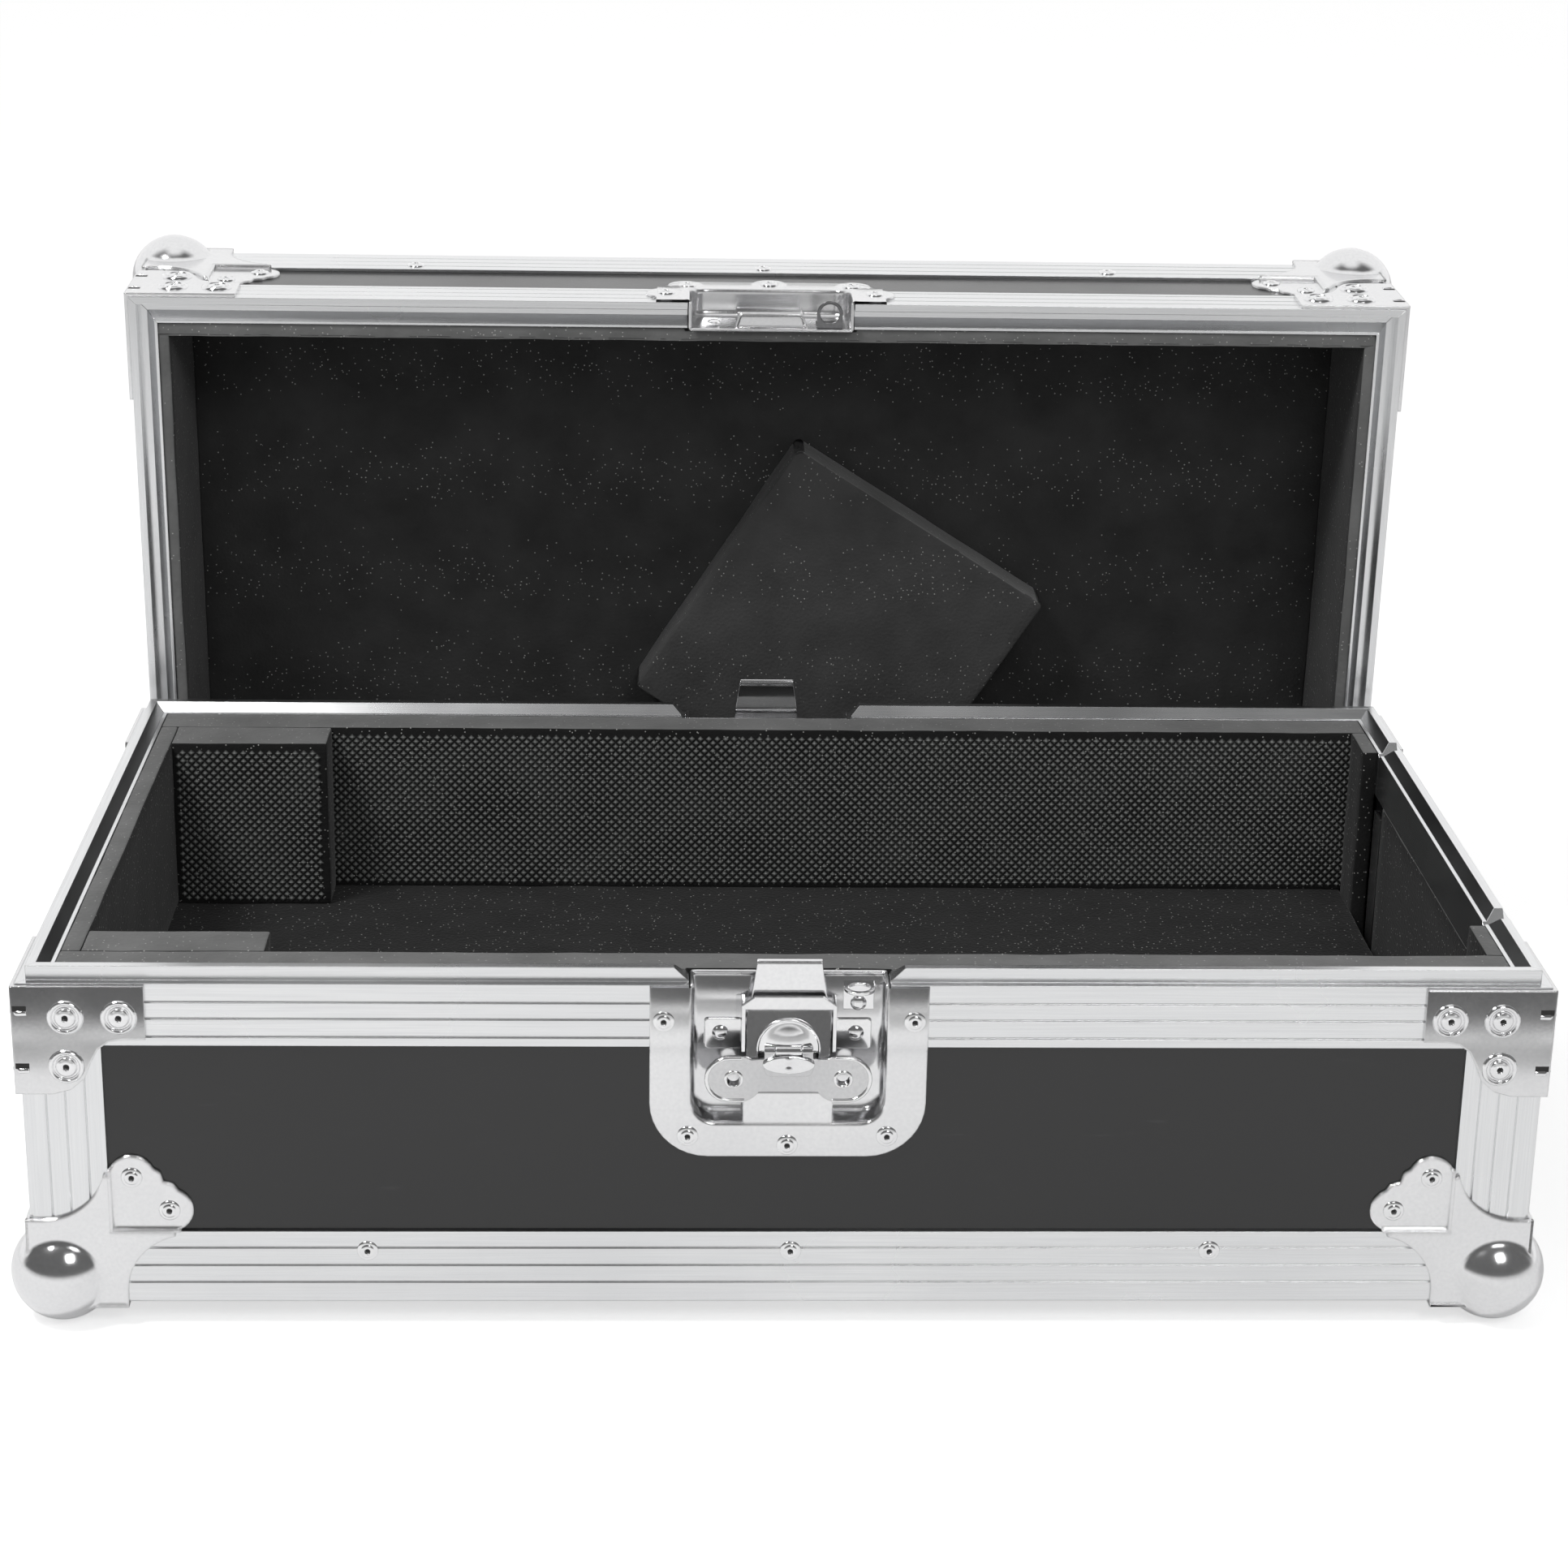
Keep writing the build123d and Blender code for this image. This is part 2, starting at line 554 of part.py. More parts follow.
def make_lid():
    rim = lid_rim_section()
    latch_cut = notch_cut(NOTCH)
    cut = outline((-NOTCH, -28.3), (NOTCH, -28.3), (NOTCH, 5), (-NOTCH, 5))
    half_w = WIDTH / 2 - PLY_END
    half_d = DEPTH / 2 - PLY_END
    save("lid_top_panel", LID * closed_sheet(LID_HEIGHT))
    for name, side in (("front", "north"), ("rear", "south")):
        sheet = wall_sheet(side, LID_HEIGHT, -8.0, -half_w, half_w, cut)
        save(f"lid_{name}_panel", LID * sheet)
        save(f"lid_{name}_rim", *[LID * part for part in run(side, rim, latch_cut).solids()])
        save(f"lid_{name}_keeper", LID * WALLS[side] * lid_keeper())
    for name, side in (("left", "west"), ("right", "east")):
        save(f"lid_{name}_panel", LID * wall_sheet(side, LID_HEIGHT, -8.0, -half_d, half_d))
    save("lid_side_rims", *[LID * solid(run(side, rim)) for side in ("west", "east")])
    save("lid_top_edges", *[LID * solid(edge_angle(side, LID_HEIGHT)) for side in WALLS])
    save("lid_uprights", *[LID * solid(piece) for piece in uprights(LID_HEIGHT)])
    ball = ball_corner()
    low = [Pos(0, 0, -LID_HEIGHT) * place * ball for place in corners()]
    save("lid_ball_corners", *[on_ground(LID * piece) for piece in low])
    save("lid_rim_corners", *[LID * place * rim_corner() for place in corners()])
    eye = solid(padlock_ring(-RING_X, 4.7, 4.3, -2.4, -13.0))
    save("lid_keeper_eyes", *[LID * WALLS[side] * eye for side in ("north", "south")])


def make_lid_lining():
    """Thin foam on the lid's sheets, and the thick square pad stuck on askew."""
    side = LINER + LID_LINING
    half = WIDTH / 2
    face = -LID_FOAM_FACE
    leg_face = -LID_HEIGHT + PLY_IN + PLATE
    span_x = (-half + side, half - side)
    top = block(span_x, (side, DEPTH - side), (leg_face, face))
    clear = INNER_LEG + 0.2
    top += block((-half + clear, half - clear), (clear, DEPTH - clear), (-LID_HEIGHT + PLY_IN, face))
    save("lid_top_foam", LID * solid(top))
    up = (leg_face, -2.5)
    long_x = (-half + LINER, half - LINER)
    room = LINER + PLATE
    gap = (-NOTCH - 1, NOTCH + 1)
    strips = [
        block(long_x, (LINER, side), up) - block(gap, (0, room), (-30, 5)),
        block(long_x, (DEPTH - side, DEPTH - LINER), up) - block(gap, (DEPTH - room, DEPTH), (-30, 5)),
        block((-half + LINER, -half + side), (side, DEPTH - side), up),
        block((half - side, half - LINER), (side, DEPTH - side), up),
    ]
    save("lid_wall_foam", *[LID * solid(strip) for strip in strips])
    square = Pos(*PAD_CENTRE) * Rot(0, 0, PAD_TURN) * RectangleRounded(PAD, PAD, 3.0)
    save("lid_pad", LID * solid(Pos(0, 0, face) * extrude(square, amount=PAD_THICK, dir=(0, 0, 1))))


os.makedirs("parts", exist_ok=True)
make_base()
make_base_lining()
make_access_panel()
make_latches()
make_lid()
make_lid_lining()
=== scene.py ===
from math import cos, pi, radians, sin

import bmesh
import bpy
from mathutils import Matrix, Vector, noise


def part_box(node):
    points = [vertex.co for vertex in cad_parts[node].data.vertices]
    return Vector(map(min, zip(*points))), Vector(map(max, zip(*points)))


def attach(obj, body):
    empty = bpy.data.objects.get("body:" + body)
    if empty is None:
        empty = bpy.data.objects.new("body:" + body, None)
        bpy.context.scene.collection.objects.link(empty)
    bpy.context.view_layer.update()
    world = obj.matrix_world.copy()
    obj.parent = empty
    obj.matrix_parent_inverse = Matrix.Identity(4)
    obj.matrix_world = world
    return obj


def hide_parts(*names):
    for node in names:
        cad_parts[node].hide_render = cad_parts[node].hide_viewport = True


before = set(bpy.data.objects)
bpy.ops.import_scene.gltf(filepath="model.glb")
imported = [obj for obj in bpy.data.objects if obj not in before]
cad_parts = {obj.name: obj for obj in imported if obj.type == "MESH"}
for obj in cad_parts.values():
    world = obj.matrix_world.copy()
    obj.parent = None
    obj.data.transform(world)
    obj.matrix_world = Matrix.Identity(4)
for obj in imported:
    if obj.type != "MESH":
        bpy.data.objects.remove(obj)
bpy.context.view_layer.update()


# Camera and lamps. The camera stands in front of the case, a little left of its middle and above it.
# The main lamp hangs above and to the left, and a weaker and larger one in front, to the right.
LENS = 76.477
SENSOR = 36.0
CAMERA_AT = (-0.04773, -1.34243, 0.61653)
CAMERA_PAN = -2.24365
CAMERA_TILT = 70.55293
CAMERA_ROLL = 1.04613

lens = bpy.data.cameras.new("camera")
lens.lens = LENS
lens.sensor_width = SENSOR
camera = bpy.data.objects.new("camera", lens)
turned = Matrix.Rotation(radians(CAMERA_PAN), 4, "Z") @ Matrix.Rotation(radians(CAMERA_TILT), 4, "X")
turned = turned @ Matrix.Rotation(radians(CAMERA_ROLL), 4, "Z")
camera.matrix_world = Matrix.Translation(CAMERA_AT) @ turned
bpy.context.collection.objects.link(camera)
bpy.context.scene.camera = camera
bpy.context.scene.view_settings.view_transform = "Standard"


def lamp(name, spot, aim, size, power):
    """A square area lamp at a spot, facing a point, both in metres."""
    light = bpy.data.lights.new(name, "AREA")
    light.size = size
    light.energy = power
    made = bpy.data.objects.new(name, light)
    away = Vector(aim) - Vector(spot)
    made.matrix_world = Matrix.Translation(spot) @ away.to_track_quat("-Z", "Y").to_matrix().to_4x4()
    bpy.context.collection.objects.link(made)


lamp("key", spot=(-0.95, -0.6, 1.8), aim=(0.0, 0.0, 0.1), size=0.45, power=17.0)
lamp("fill", spot=(0.5, -1.6, 1.5), aim=(0.0, 0.0, 0.15), size=0.6, power=6.0)


# Backdrop and walls: an even white. The ceiling on the camera's side is grey. It is seen only in
# mirror rays, where it gives the steel its dark areas, and takes no light from the case.
ROOM_LIGHT = 0.55
CEILING_DARKNESS = 0.86
CEILING_FOOT = (0.0, 0.1)
CEILING_TOP = (0.93, 0.99)
CEILING_BACK = (-0.1, 0.2)


def add(tree, kind, inputs=None, **settings):
    """A new node. Each input takes a number, a colour or another node's output."""
    made = tree.nodes.new(kind)
    for key, value in settings.items():
        setattr(made, key, value)
    for key, value in (inputs or {}).items():
        if isinstance(value, bpy.types.NodeSocket):
            tree.links.new(value, made.inputs[key])
        else:
            made.inputs[key].default_value = value
    return made


def seen_directly(tree):
    """1 for rays from the camera and for mirror and clear rays, and 0 for light on the object."""
    path = add(tree, "ShaderNodeLightPath")
    both = add(tree, "ShaderNodeMath", {0: path.outputs["Is Camera Ray"],
                                        1: path.outputs["Is Glossy Ray"]}, operation="MAXIMUM")
    every = add(tree, "ShaderNodeMath", {0: both.outputs[0],
                                         1: path.outputs["Is Transmission Ray"]}, operation="MAXIMUM")
    return every.outputs[0]


def spread(tree, value, low, high, start=0.0, end=1.0):
    """A value from start to end, mapped on low to high."""
    made = add(tree, "ShaderNodeMapRange", {"Value": value, "From Min": start, "From Max": end,
                                            "To Min": low, "To Max": high})
    return made.outputs[0]


def times(tree, first, second):
    """The product of two values."""
    return add(tree, "ShaderNodeMath", {0: first, 1: second}, operation="MULTIPLY").outputs[0]


room = bpy.data.worlds.new("room")
room.use_nodes = True
bpy.context.scene.world = room
tree = room.node_tree
towards = add(tree, "ShaderNodeSeparateXYZ",
              {"Vector": add(tree, "ShaderNodeTexCoord").outputs["Generated"]}).outputs
dark_band = times(tree, spread(tree, towards[2], 0.0, 1.0, *CEILING_FOOT),
                  spread(tree, towards[2], 1.0, 0.0, *CEILING_TOP))
ceiling = times(tree, dark_band, spread(tree, towards[1], 1.0, 0.0, *CEILING_BACK))
mirror_only = times(tree, ceiling, add(tree, "ShaderNodeLightPath").outputs["Is Glossy Ray"])
level = add(tree, "ShaderNodeMath", {0: spread(tree, seen_directly(tree), ROOM_LIGHT, 1.0),
                                     1: spread(tree, mirror_only, 0.0, CEILING_DARKNESS)},
            operation="SUBTRACT")
back = tree.nodes["Background"]
tree.links.new(level.outputs[0], back.inputs["Strength"])
back.inputs["Color"].default_value = (1, 1, 1, 1)


# Floor: white paper under the case, which ends a step in front of it. Past its end a darker floor
# shows in the metal.
PAPER = (0.82, 0.82, 0.82)
DARK_FLOOR = (0.42, 0.42, 0.42)
PAPER_END = (-1.0, -0.75)
MIRROR_GLOW = 0.12
CAMERA_GLOW = 0.4


def new_material(name):
    """A node material, its tree and its shader."""
    made = bpy.data.materials.new(name)
    made.use_nodes = True
    return made, made.node_tree, made.node_tree.nodes["Principled BSDF"]


def blend_colour(tree, factor, first, second):
    """A mix of two colours."""
    made = add(tree, "ShaderNodeMix", data_type="RGBA")
    tree.links.new(factor, made.inputs[0])
    for spot, value in ((6, first), (7, second)):
        if isinstance(value, bpy.types.NodeSocket):
            tree.links.new(value, made.inputs[spot])
        else:
            made.inputs[spot].default_value = (*value, 1)
    return made.outputs[2]


paper, tree, shader = new_material("floor_paper")
place = add(tree, "ShaderNodeSeparateXYZ", {"Vector": add(tree, "ShaderNodeTexCoord").outputs["Object"]})
past_end = spread(tree, place.outputs[1], 1.0, 0.0, *PAPER_END)
path = add(tree, "ShaderNodeLightPath").outputs
tree.links.new(blend_colour(tree, times(tree, past_end, path["Is Glossy Ray"]), PAPER, DARK_FLOOR),
               shader.inputs["Base Color"])
shader.inputs["Roughness"].default_value = 0.9
shader.inputs["Emission Color"].default_value = (1, 1, 1, 1)
glow = add(tree, "ShaderNodeMath", {0: times(tree, seen_directly(tree), MIRROR_GLOW),
                                    1: times(tree, path["Is Camera Ray"], CAMERA_GLOW)}, operation="ADD")
tree.links.new(glow.outputs[0], shader.inputs["Emission Strength"])

floor_mesh = bpy.data.meshes.new("floor")
floor_mesh.from_pydata([(-6, -6, 0), (6, -6, 0), (6, 8, 0), (-6, 8, 0)], [], [(0, 1, 2, 3)])
floor_mesh.materials.append(paper)
floor = bpy.data.objects.new("floor", floor_mesh)
bpy.context.collection.objects.link(floor)


# Edge extrusions: bright anodised aluminium angles and rims, drawn lengthwise. They are the solids
# themselves, and the faint draw marks run along each bar. Rivets hold them to the sheets.
BAR_LIGHT = (0.85, 0.855, 0.86)
BAR_DARK = (0.74, 0.745, 0.755)
BAR_ROUGH = 0.24
BAR_ROUNDING = 0.0004
BAR_MOTTLE = 9.0
ALONG = 25.0
ACROSS = 1800.0


def metal(name, light, dark, rough, stretch, rounding, mottle, relief=0.06, lean=None):
    """Bare metal with a stretched grain, faint marks and softened edges.

    lean is for a plate that is dished: from one height to another, in metres, it turns upwards.
    """
    made, tree, shader = new_material(name)
    spot = add(tree, "ShaderNodeTexCoord").outputs["Object"]
    grain_at = add(tree, "ShaderNodeMapping", {"Vector": spot, "Scale": stretch}).outputs[0]
    grain = add(tree, "ShaderNodeTexNoise", {"Vector": grain_at, "Scale": 1.0, "Detail": 3.0})
    cloud = add(tree, "ShaderNodeTexNoise", {"Vector": spot, "Scale": mottle, "Detail": 4.0})
    tone = spread(tree, times(tree, grain.outputs[0], cloud.outputs[0]), 0.0, 1.0, 0.1, 0.42)
    tree.links.new(blend_colour(tree, tone, dark, light), shader.inputs["Base Color"])
    tree.links.new(spread(tree, cloud.outputs[0], rough - 0.06, rough + 0.07, 0.3, 0.7),
                   shader.inputs["Roughness"])
    shader.inputs["Metallic"].default_value = 1.0
    normal = add(tree, "ShaderNodeBevel", {"Radius": rounding}, samples=6).outputs[0]
    if lean:
        start, end, turn = lean
        height = add(tree, "ShaderNodeSeparateXYZ", {"Vector": spot}).outputs[2]
        rise = add(tree, "ShaderNodeCombineXYZ", {"Z": spread(tree, height, 0.0, turn, start, end)})
        normal = add(tree, "ShaderNodeVectorMath", {0: normal, 1: rise.outputs[0]}).outputs[0]
        normal = add(tree, "ShaderNodeVectorMath", {0: normal}, operation="NORMALIZE").outputs[0]
    bump = add(tree, "ShaderNodeBump", {"Height": grain.outputs[0], "Strength": relief,
                                        "Distance": 0.0002, "Normal": normal})
    tree.links.new(bump.outputs[0], shader.inputs["Normal"])
    return made


def finish_nodes(material, *names):
    """Give solids that stay in view their material."""
    for name in names:
        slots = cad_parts[name].data.materials
        for i in range(len(slots)):
            slots[i] = material
        if not slots:
            slots.append(material)


ALONG_X = metal("aluminium_x", BAR_LIGHT, BAR_DARK, BAR_ROUGH, (ALONG, ACROSS, ACROSS), BAR_ROUNDING,
                BAR_MOTTLE)
ALONG_Y = metal("aluminium_y", BAR_LIGHT, BAR_DARK, BAR_ROUGH, (ACROSS, ALONG, ACROSS), BAR_ROUNDING,
                BAR_MOTTLE)
ALONG_Z = metal("aluminium_z", BAR_LIGHT, BAR_DARK, BAR_ROUGH, (ACROSS, ACROSS, ALONG), BAR_ROUNDING,
                BAR_MOTTLE)
finish_nodes(ALONG_X, "base_front_rim", "base_rear_rim", "base_long_bottom_edges", "lid_front_rim",
             "lid_rear_rim", "lid_top_edges")
finish_nodes(ALONG_Y, "base_left_rim", "base_right_front_rim", "base_right_rear_rim",
             "access_panel_rim", "base_short_bottom_edges", "lid_uprights")
finish_nodes(ALONG_Z, "base_uprights", "lid_side_rims", "access_panel_guides")


# Sheets: birch plywood faced on both sides with a black phenolic laminate, satin and finely
# stippled. The cut edges are hidden in the extrusions, except on the lift-out panel.
def laminate(name):
    """Black laminate with a fine stipple, faint scuffs and a soft sheen."""
    made, tree, shader = new_material(name)
    spot = add(tree, "ShaderNodeTexCoord").outputs["Object"]
    stipple = add(tree, "ShaderNodeTexNoise", {"Vector": spot, "Scale": 900.0, "Detail": 2.0})
    scuff_at = add(tree, "ShaderNodeMapping", {"Vector": spot, "Rotation": (0.3, 0.2, 0.5),
                                               "Scale": (40.0, 500.0, 300.0)}).outputs[0]
    scuff = add(tree, "ShaderNodeTexNoise", {"Vector": scuff_at, "Scale": 1.0, "Detail": 3.0})
    scuffs_and_painted_tip_highlight = spread(tree, scuff.outputs[0], 0.0, 1.0, 0.66, 0.8)
    tree.links.new(blend_colour(tree, scuffs_and_painted_tip_highlight, (0.007, 0.007, 0.0075), (0.019, 0.019, 0.02)),
                   shader.inputs["Base Color"])
    cloud = add(tree, "ShaderNodeTexNoise", {"Vector": spot, "Scale": 14.0, "Detail": 3.0})
    tree.links.new(spread(tree, cloud.outputs[0], 0.18, 0.27, 0.3, 0.7), shader.inputs["Roughness"])
    shader.inputs["Specular IOR Level"].default_value = 0.65
    bump = add(tree, "ShaderNodeBump", {"Height": stipple.outputs[0], "Strength": 0.14,
                                        "Distance": 0.0003})
    tree.links.new(bump.outputs[0], shader.inputs["Normal"])
    return made


BLACK_PLY = laminate("black_laminate")
finish_nodes(BLACK_PLY, "base_floor_panel", "base_front_panel", "base_rear_panel", "base_left_panel",
             "base_right_front_panel", "base_right_rear_panel", "access_panel", "lid_top_panel",
             "lid_front_panel", "lid_rear_panel", "lid_left_panel", "lid_right_panel")


# Rim corner plates: pressed steel, zinc plated, folded round each corner of a tray at its opening.
# They are the solids themselves. Those of the base are slightly dished, so they mirror the ceiling.
STEEL_GRAIN = (700.0, 700.0, 700.0)
STEEL_LIGHT = (0.84, 0.84, 0.845)
STEEL_DARK = (0.76, 0.76, 0.77)
STEEL_MOTTLE = 22.0
STEEL_RELIEF = 0.03
STEEL = metal("plated_steel", STEEL_LIGHT, STEEL_DARK, rough=0.17, stretch=STEEL_GRAIN, rounding=0.0011,
              mottle=STEEL_MOTTLE, relief=STEEL_RELIEF)
RIM_STEEL = metal("dished_plate_steel", (0.80, 0.80, 0.805), (0.72, 0.72, 0.73), rough=0.15,
                  stretch=STEEL_GRAIN, rounding=0.0011, mottle=STEEL_MOTTLE, relief=STEEL_RELIEF,
                  lean=(0.088, 0.139, 0.34))
finish_nodes(STEEL, "lid_rim_corners")
finish_nodes(RIM_STEEL, "base_rim_corners")


# Latches: bright zinc-plated steel, pressed and riveted. The bridge, padlock ring, cam, pin, hook
# and wing are the solids themselves. The lid's padlock eyes are of a darker, duller steel.
CHROME_LIGHT = (0.88, 0.88, 0.885)
CHROME_DARK = (0.80, 0.80, 0.81)
CHROME_MOTTLE = 30.0
CHROME_RELIEF = 0.015
CHROME = metal("bright_steel", CHROME_LIGHT, CHROME_DARK, rough=0.09, stretch=STEEL_GRAIN,
               rounding=0.0006, mottle=CHROME_MOTTLE, relief=CHROME_RELIEF)
HOOK_STEEL = metal("hook_steel", CHROME_LIGHT, CHROME_DARK, rough=0.10, stretch=STEEL_GRAIN,
                   rounding=0.0008, mottle=CHROME_MOTTLE, relief=CHROME_RELIEF,
                   lean=(0.1315, 0.127, 0.36))
WING_STEEL = metal("wing_steel", (0.66, 0.66, 0.665), (0.56, 0.56, 0.57), rough=0.13,
                   stretch=STEEL_GRAIN, rounding=0.0006, mottle=CHROME_MOTTLE, relief=0.02)
EYE_STEEL = metal("eye_steel", (0.24, 0.24, 0.245), (0.17, 0.17, 0.175), rough=0.2,
                  stretch=STEEL_GRAIN, rounding=0.0009, mottle=CHROME_MOTTLE, relief=STEEL_RELIEF)
finish_nodes(EYE_STEEL, "lid_keeper_eyes")
for end in ("front", "rear"):
    finish_nodes(CHROME, *[f"{end}_latch_{part}" for part in ("bridge", "ring", "cam", "pin")])
    finish_nodes(HOOK_STEEL, f"{end}_latch_hook")
    finish_nodes(WING_STEEL, f"{end}_latch_wing")


# Ball corners: pressed steel, each a hollow ball on three legs. The legs lie over the edge angles,
# and between them a two-lobed tab is pressed down on to each sheet, where two rivets hold it.
WIDTH = 565.0
DEPTH = 321.0
BASE_HEIGHT = 130.5
LID_HEIGHT = 88.0
LEAN = radians(2.5)
METRES = Matrix.Scale(0.001, 4)
# A tray's own frame, in mm: its opening plane is z = 0, and y runs from its south to its north wall
BASE = METRES @ Matrix.Translation((0, -215.745, 140.0))
LID = METRES @ Matrix((
    (1, 0, 0, 0),
    (0, -sin(LEAN), -cos(LEAN), 128.255),
    (0, cos(LEAN), -sin(LEAN), 6.107),
    (0, 0, 0, 1),
))
CORNERS = [
    Matrix.Translation((sx * WIDTH / 2, sy * DEPTH, 0)) @ Matrix.Rotation(radians(turn), 4, "Z")
    for sx, sy, turn in ((-1, 0, 0), (1, 0, 90), (1, 1, 180), (-1, 1, 270))
]
BALL_AT = Vector((10, 10, 10))
BALL_RADIUS = 19.7
BALL_CUT = 0.4
LEG = 35.5
TAB = 30.05
CORNER_THICK = 1.5
TAB_TOP = -0.3
TAB_THICK = 1.2
STEP_THICK = 1.1
BALL_STEEL = metal("ball_corner_steel", STEEL_LIGHT, STEEL_DARK, rough=0.13, stretch=STEEL_GRAIN,
                   rounding=0.0022, mottle=STEEL_MOTTLE, relief=STEEL_RELIEF)
# The three faces of a ball corner: local x and y along the face, z outwards
BALL_FACES = (
    Matrix(((1, 0, 0, 0), (0, 1, 0, 0), (0, 0, -1, 0), (0, 0, 0, 1))),
    Matrix(((0, 0, -1, 0), (1, 0, 0, 0), (0, 1, 0, 0), (0, 0, 0, 1))),
    Matrix(((0, 1, 0, 0), (0, 0, -1, 0), (1, 0, 0, 0), (0, 0, 0, 1))),
)


def link_piece(name, mesh, body, materials):
    """A finished mesh in metres becomes a piece on its body, with the given materials."""
    for material in materials:
        mesh.materials.append(material)
    piece = bpy.data.objects.new(name, mesh)
    bpy.context.collection.objects.link(piece)
    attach(piece, body)
    return piece


def piece_from(bm, name, body, slot, *materials):
    """Close a bmesh in metres into a smooth-shaded piece on its body."""
    bmesh.ops.recalc_face_normals(bm, faces=bm.faces)
    for face in bm.faces:
        face.smooth = True
    mesh = bpy.data.meshes.new(name)
    bm.to_mesh(mesh)
    bm.free()
    mesh.set_sharp_from_angle(angle=radians(38))
    return link_piece(name, mesh, body, materials)


def arc(x, y, radius, start, end, steps=10):
    """Points on a round stretch, with its angles in degrees."""
    turns = [radians(start + (end - start) * i / steps) for i in range(steps + 1)]
    return [(x + radius * cos(turn), y + radius * sin(turn)) for turn in turns]


def pressed_plate(bm, outlines, under, over, place, edge=0.35):
    """Add a plate with rounded rims. The first outline is its edge, anticlockwise, and the rest holes."""
    curve = bpy.data.curves.new("plate", "CURVE")
    curve.dimensions = "2D"
    curve.fill_mode = "BOTH"
    curve.extrude = (over - under) / 2 - edge
    curve.bevel_depth = edge
    curve.bevel_resolution = 2
    curve.offset = -edge
    for i, outline in enumerate(outlines):
        line = curve.splines.new("POLY")
        line.points.add(len(outline) - 1)
        for spot, (x, y) in zip(line.points, outline if i == 0 else outline[::-1]):
            spot.co = (x, y, 0, 1)
        line.use_cyclic_u = True
    holder = bpy.data.objects.new("plate", curve)
    mesh = bpy.data.meshes.new_from_object(holder)
    mesh.transform(place @ Matrix.Translation((0, 0, (over + under) / 2)))
    bm.from_mesh(mesh)
    bpy.data.objects.remove(holder)
    bpy.data.curves.remove(curve)
    bpy.data.meshes.remove(mesh)


def swapped(points):
    """The same outline on the other side of the diagonal, run the other way."""
    return [(y, x) for x, y in reversed(points)]


LEG_SIDE = [(LEG, -CORNER_THICK), (LEG, 0)] + arc(59.6, 5, 24.1, 180, 103)
LOBE = arc(52.2, 38.7, 8.9, -62, 66) + [(54.2, 49.3), (50.5, 50.4)]
LEVEL_PART = ([(-CORNER_THICK, -CORNER_THICK)] + LEG_SIDE + [(53.4, TAB), (TAB, TAB), (TAB, 53.4)]
              + swapped(LEG_SIDE))
TAB_PART = [(TAB, TAB), (54.4, TAB)] + LOBE + swapped(LOBE) + [(TAB, 54.4)]
STEP_WALL = [(TAB, TAB), (56.0, TAB), (56.5, TAB + STEP_THICK), (TAB + STEP_THICK, TAB + STEP_THICK),
             (TAB + STEP_THICK, 56.5), (TAB, 56.0)]


def ball_corner(bm, place):
    """One ball corner, its case in the positive octant. The ball's part inside the case is cut away."""
    for face in BALL_FACES:
        pressed_plate(bm, [LEVEL_PART], 0.0, CORNER_THICK, place @ face)
        pressed_plate(bm, [TAB_PART], TAB_TOP - TAB_THICK, TAB_TOP, place @ face)
        pressed_plate(bm, [STEP_WALL], TAB_TOP - TAB_THICK, CORNER_THICK, place @ face, 0.3)
    ball = bmesh.new()
    bmesh.ops.create_uvsphere(ball, u_segments=48, v_segments=32, radius=BALL_RADIUS,
                              matrix=Matrix.Translation(BALL_AT))
    hidden = [face for face in ball.faces if all(min(vert.co) > BALL_CUT for vert in face.verts)]
    bmesh.ops.delete(ball, geom=hidden, context="FACES")
    mesh = bpy.data.meshes.new("ball")
    ball.to_mesh(mesh)
    ball.free()
    mesh.transform(place)
    bm.from_mesh(mesh)
    bpy.data.meshes.remove(mesh)


for tray, body, height in ((BASE, "base", BASE_HEIGHT), (LID, "lid", LID_HEIGHT)):
    bm = bmesh.new()
    for corner in CORNERS:
        ball_corner(bm, tray @ Matrix.Translation((0, 0, -height)) @ corner)
    for vert in bm.verts:
        vert.co.z = max(vert.co.z, 0.0)
    balls = piece_from(bm, f"{body}_corner_balls", body, "corner_steel", BALL_STEEL)
    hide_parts(f"{body}_ball_corners")


# Latch dishes: deep-drawn steel. A flange steps from the rim down on to the sheet, a rounded lip
# leads to the side walls, and the back carries a raised stop. A bead runs along its open top edge.
DISH_HALF = 35.9
DISH_DEPTH = 12.0
SHEET_STEP = -27.2
STEP_RUN = 3.4
FLANGE = 1.2
ON_SHEET = -0.3
BACK_PLATE = -12.4
STOP = (-16.8, -56.0, 16.8, -42.8)
STOP_FACE = -0.5
STEP_STEEL = metal("stepped_flange_steel", STEEL_LIGHT, STEEL_DARK, rough=0.15, stretch=STEEL_GRAIN,
                   rounding=0.0014, mottle=STEEL_MOTTLE, relief=STEEL_RELIEF,
                   lean=(0.1155, 0.1385, 0.32))
# A wall's own frame: x along the wall, y is height above the opening plane, z points outwards
WALLS = {
    "south": Matrix(((1, 0, 0, 0), (0, 0, -1, 0), (0, 1, 0, 0), (0, 0, 0, 1))),
    "north": Matrix(((-1, 0, 0, 0), (0, 0, 1, DEPTH), (0, 1, 0, 0), (0, 0, 0, 1))),
    "east": Matrix(((0, 0, 1, WIDTH / 2), (1, 0, 0, DEPTH / 2), (0, 1, 0, 0), (0, 0, 0, 1))),
    "west": Matrix(((0, 0, -1, -WIDTH / 2), (-1, 0, 0, DEPTH / 2), (0, 1, 0, 0), (0, 0, 0, 1))),
}


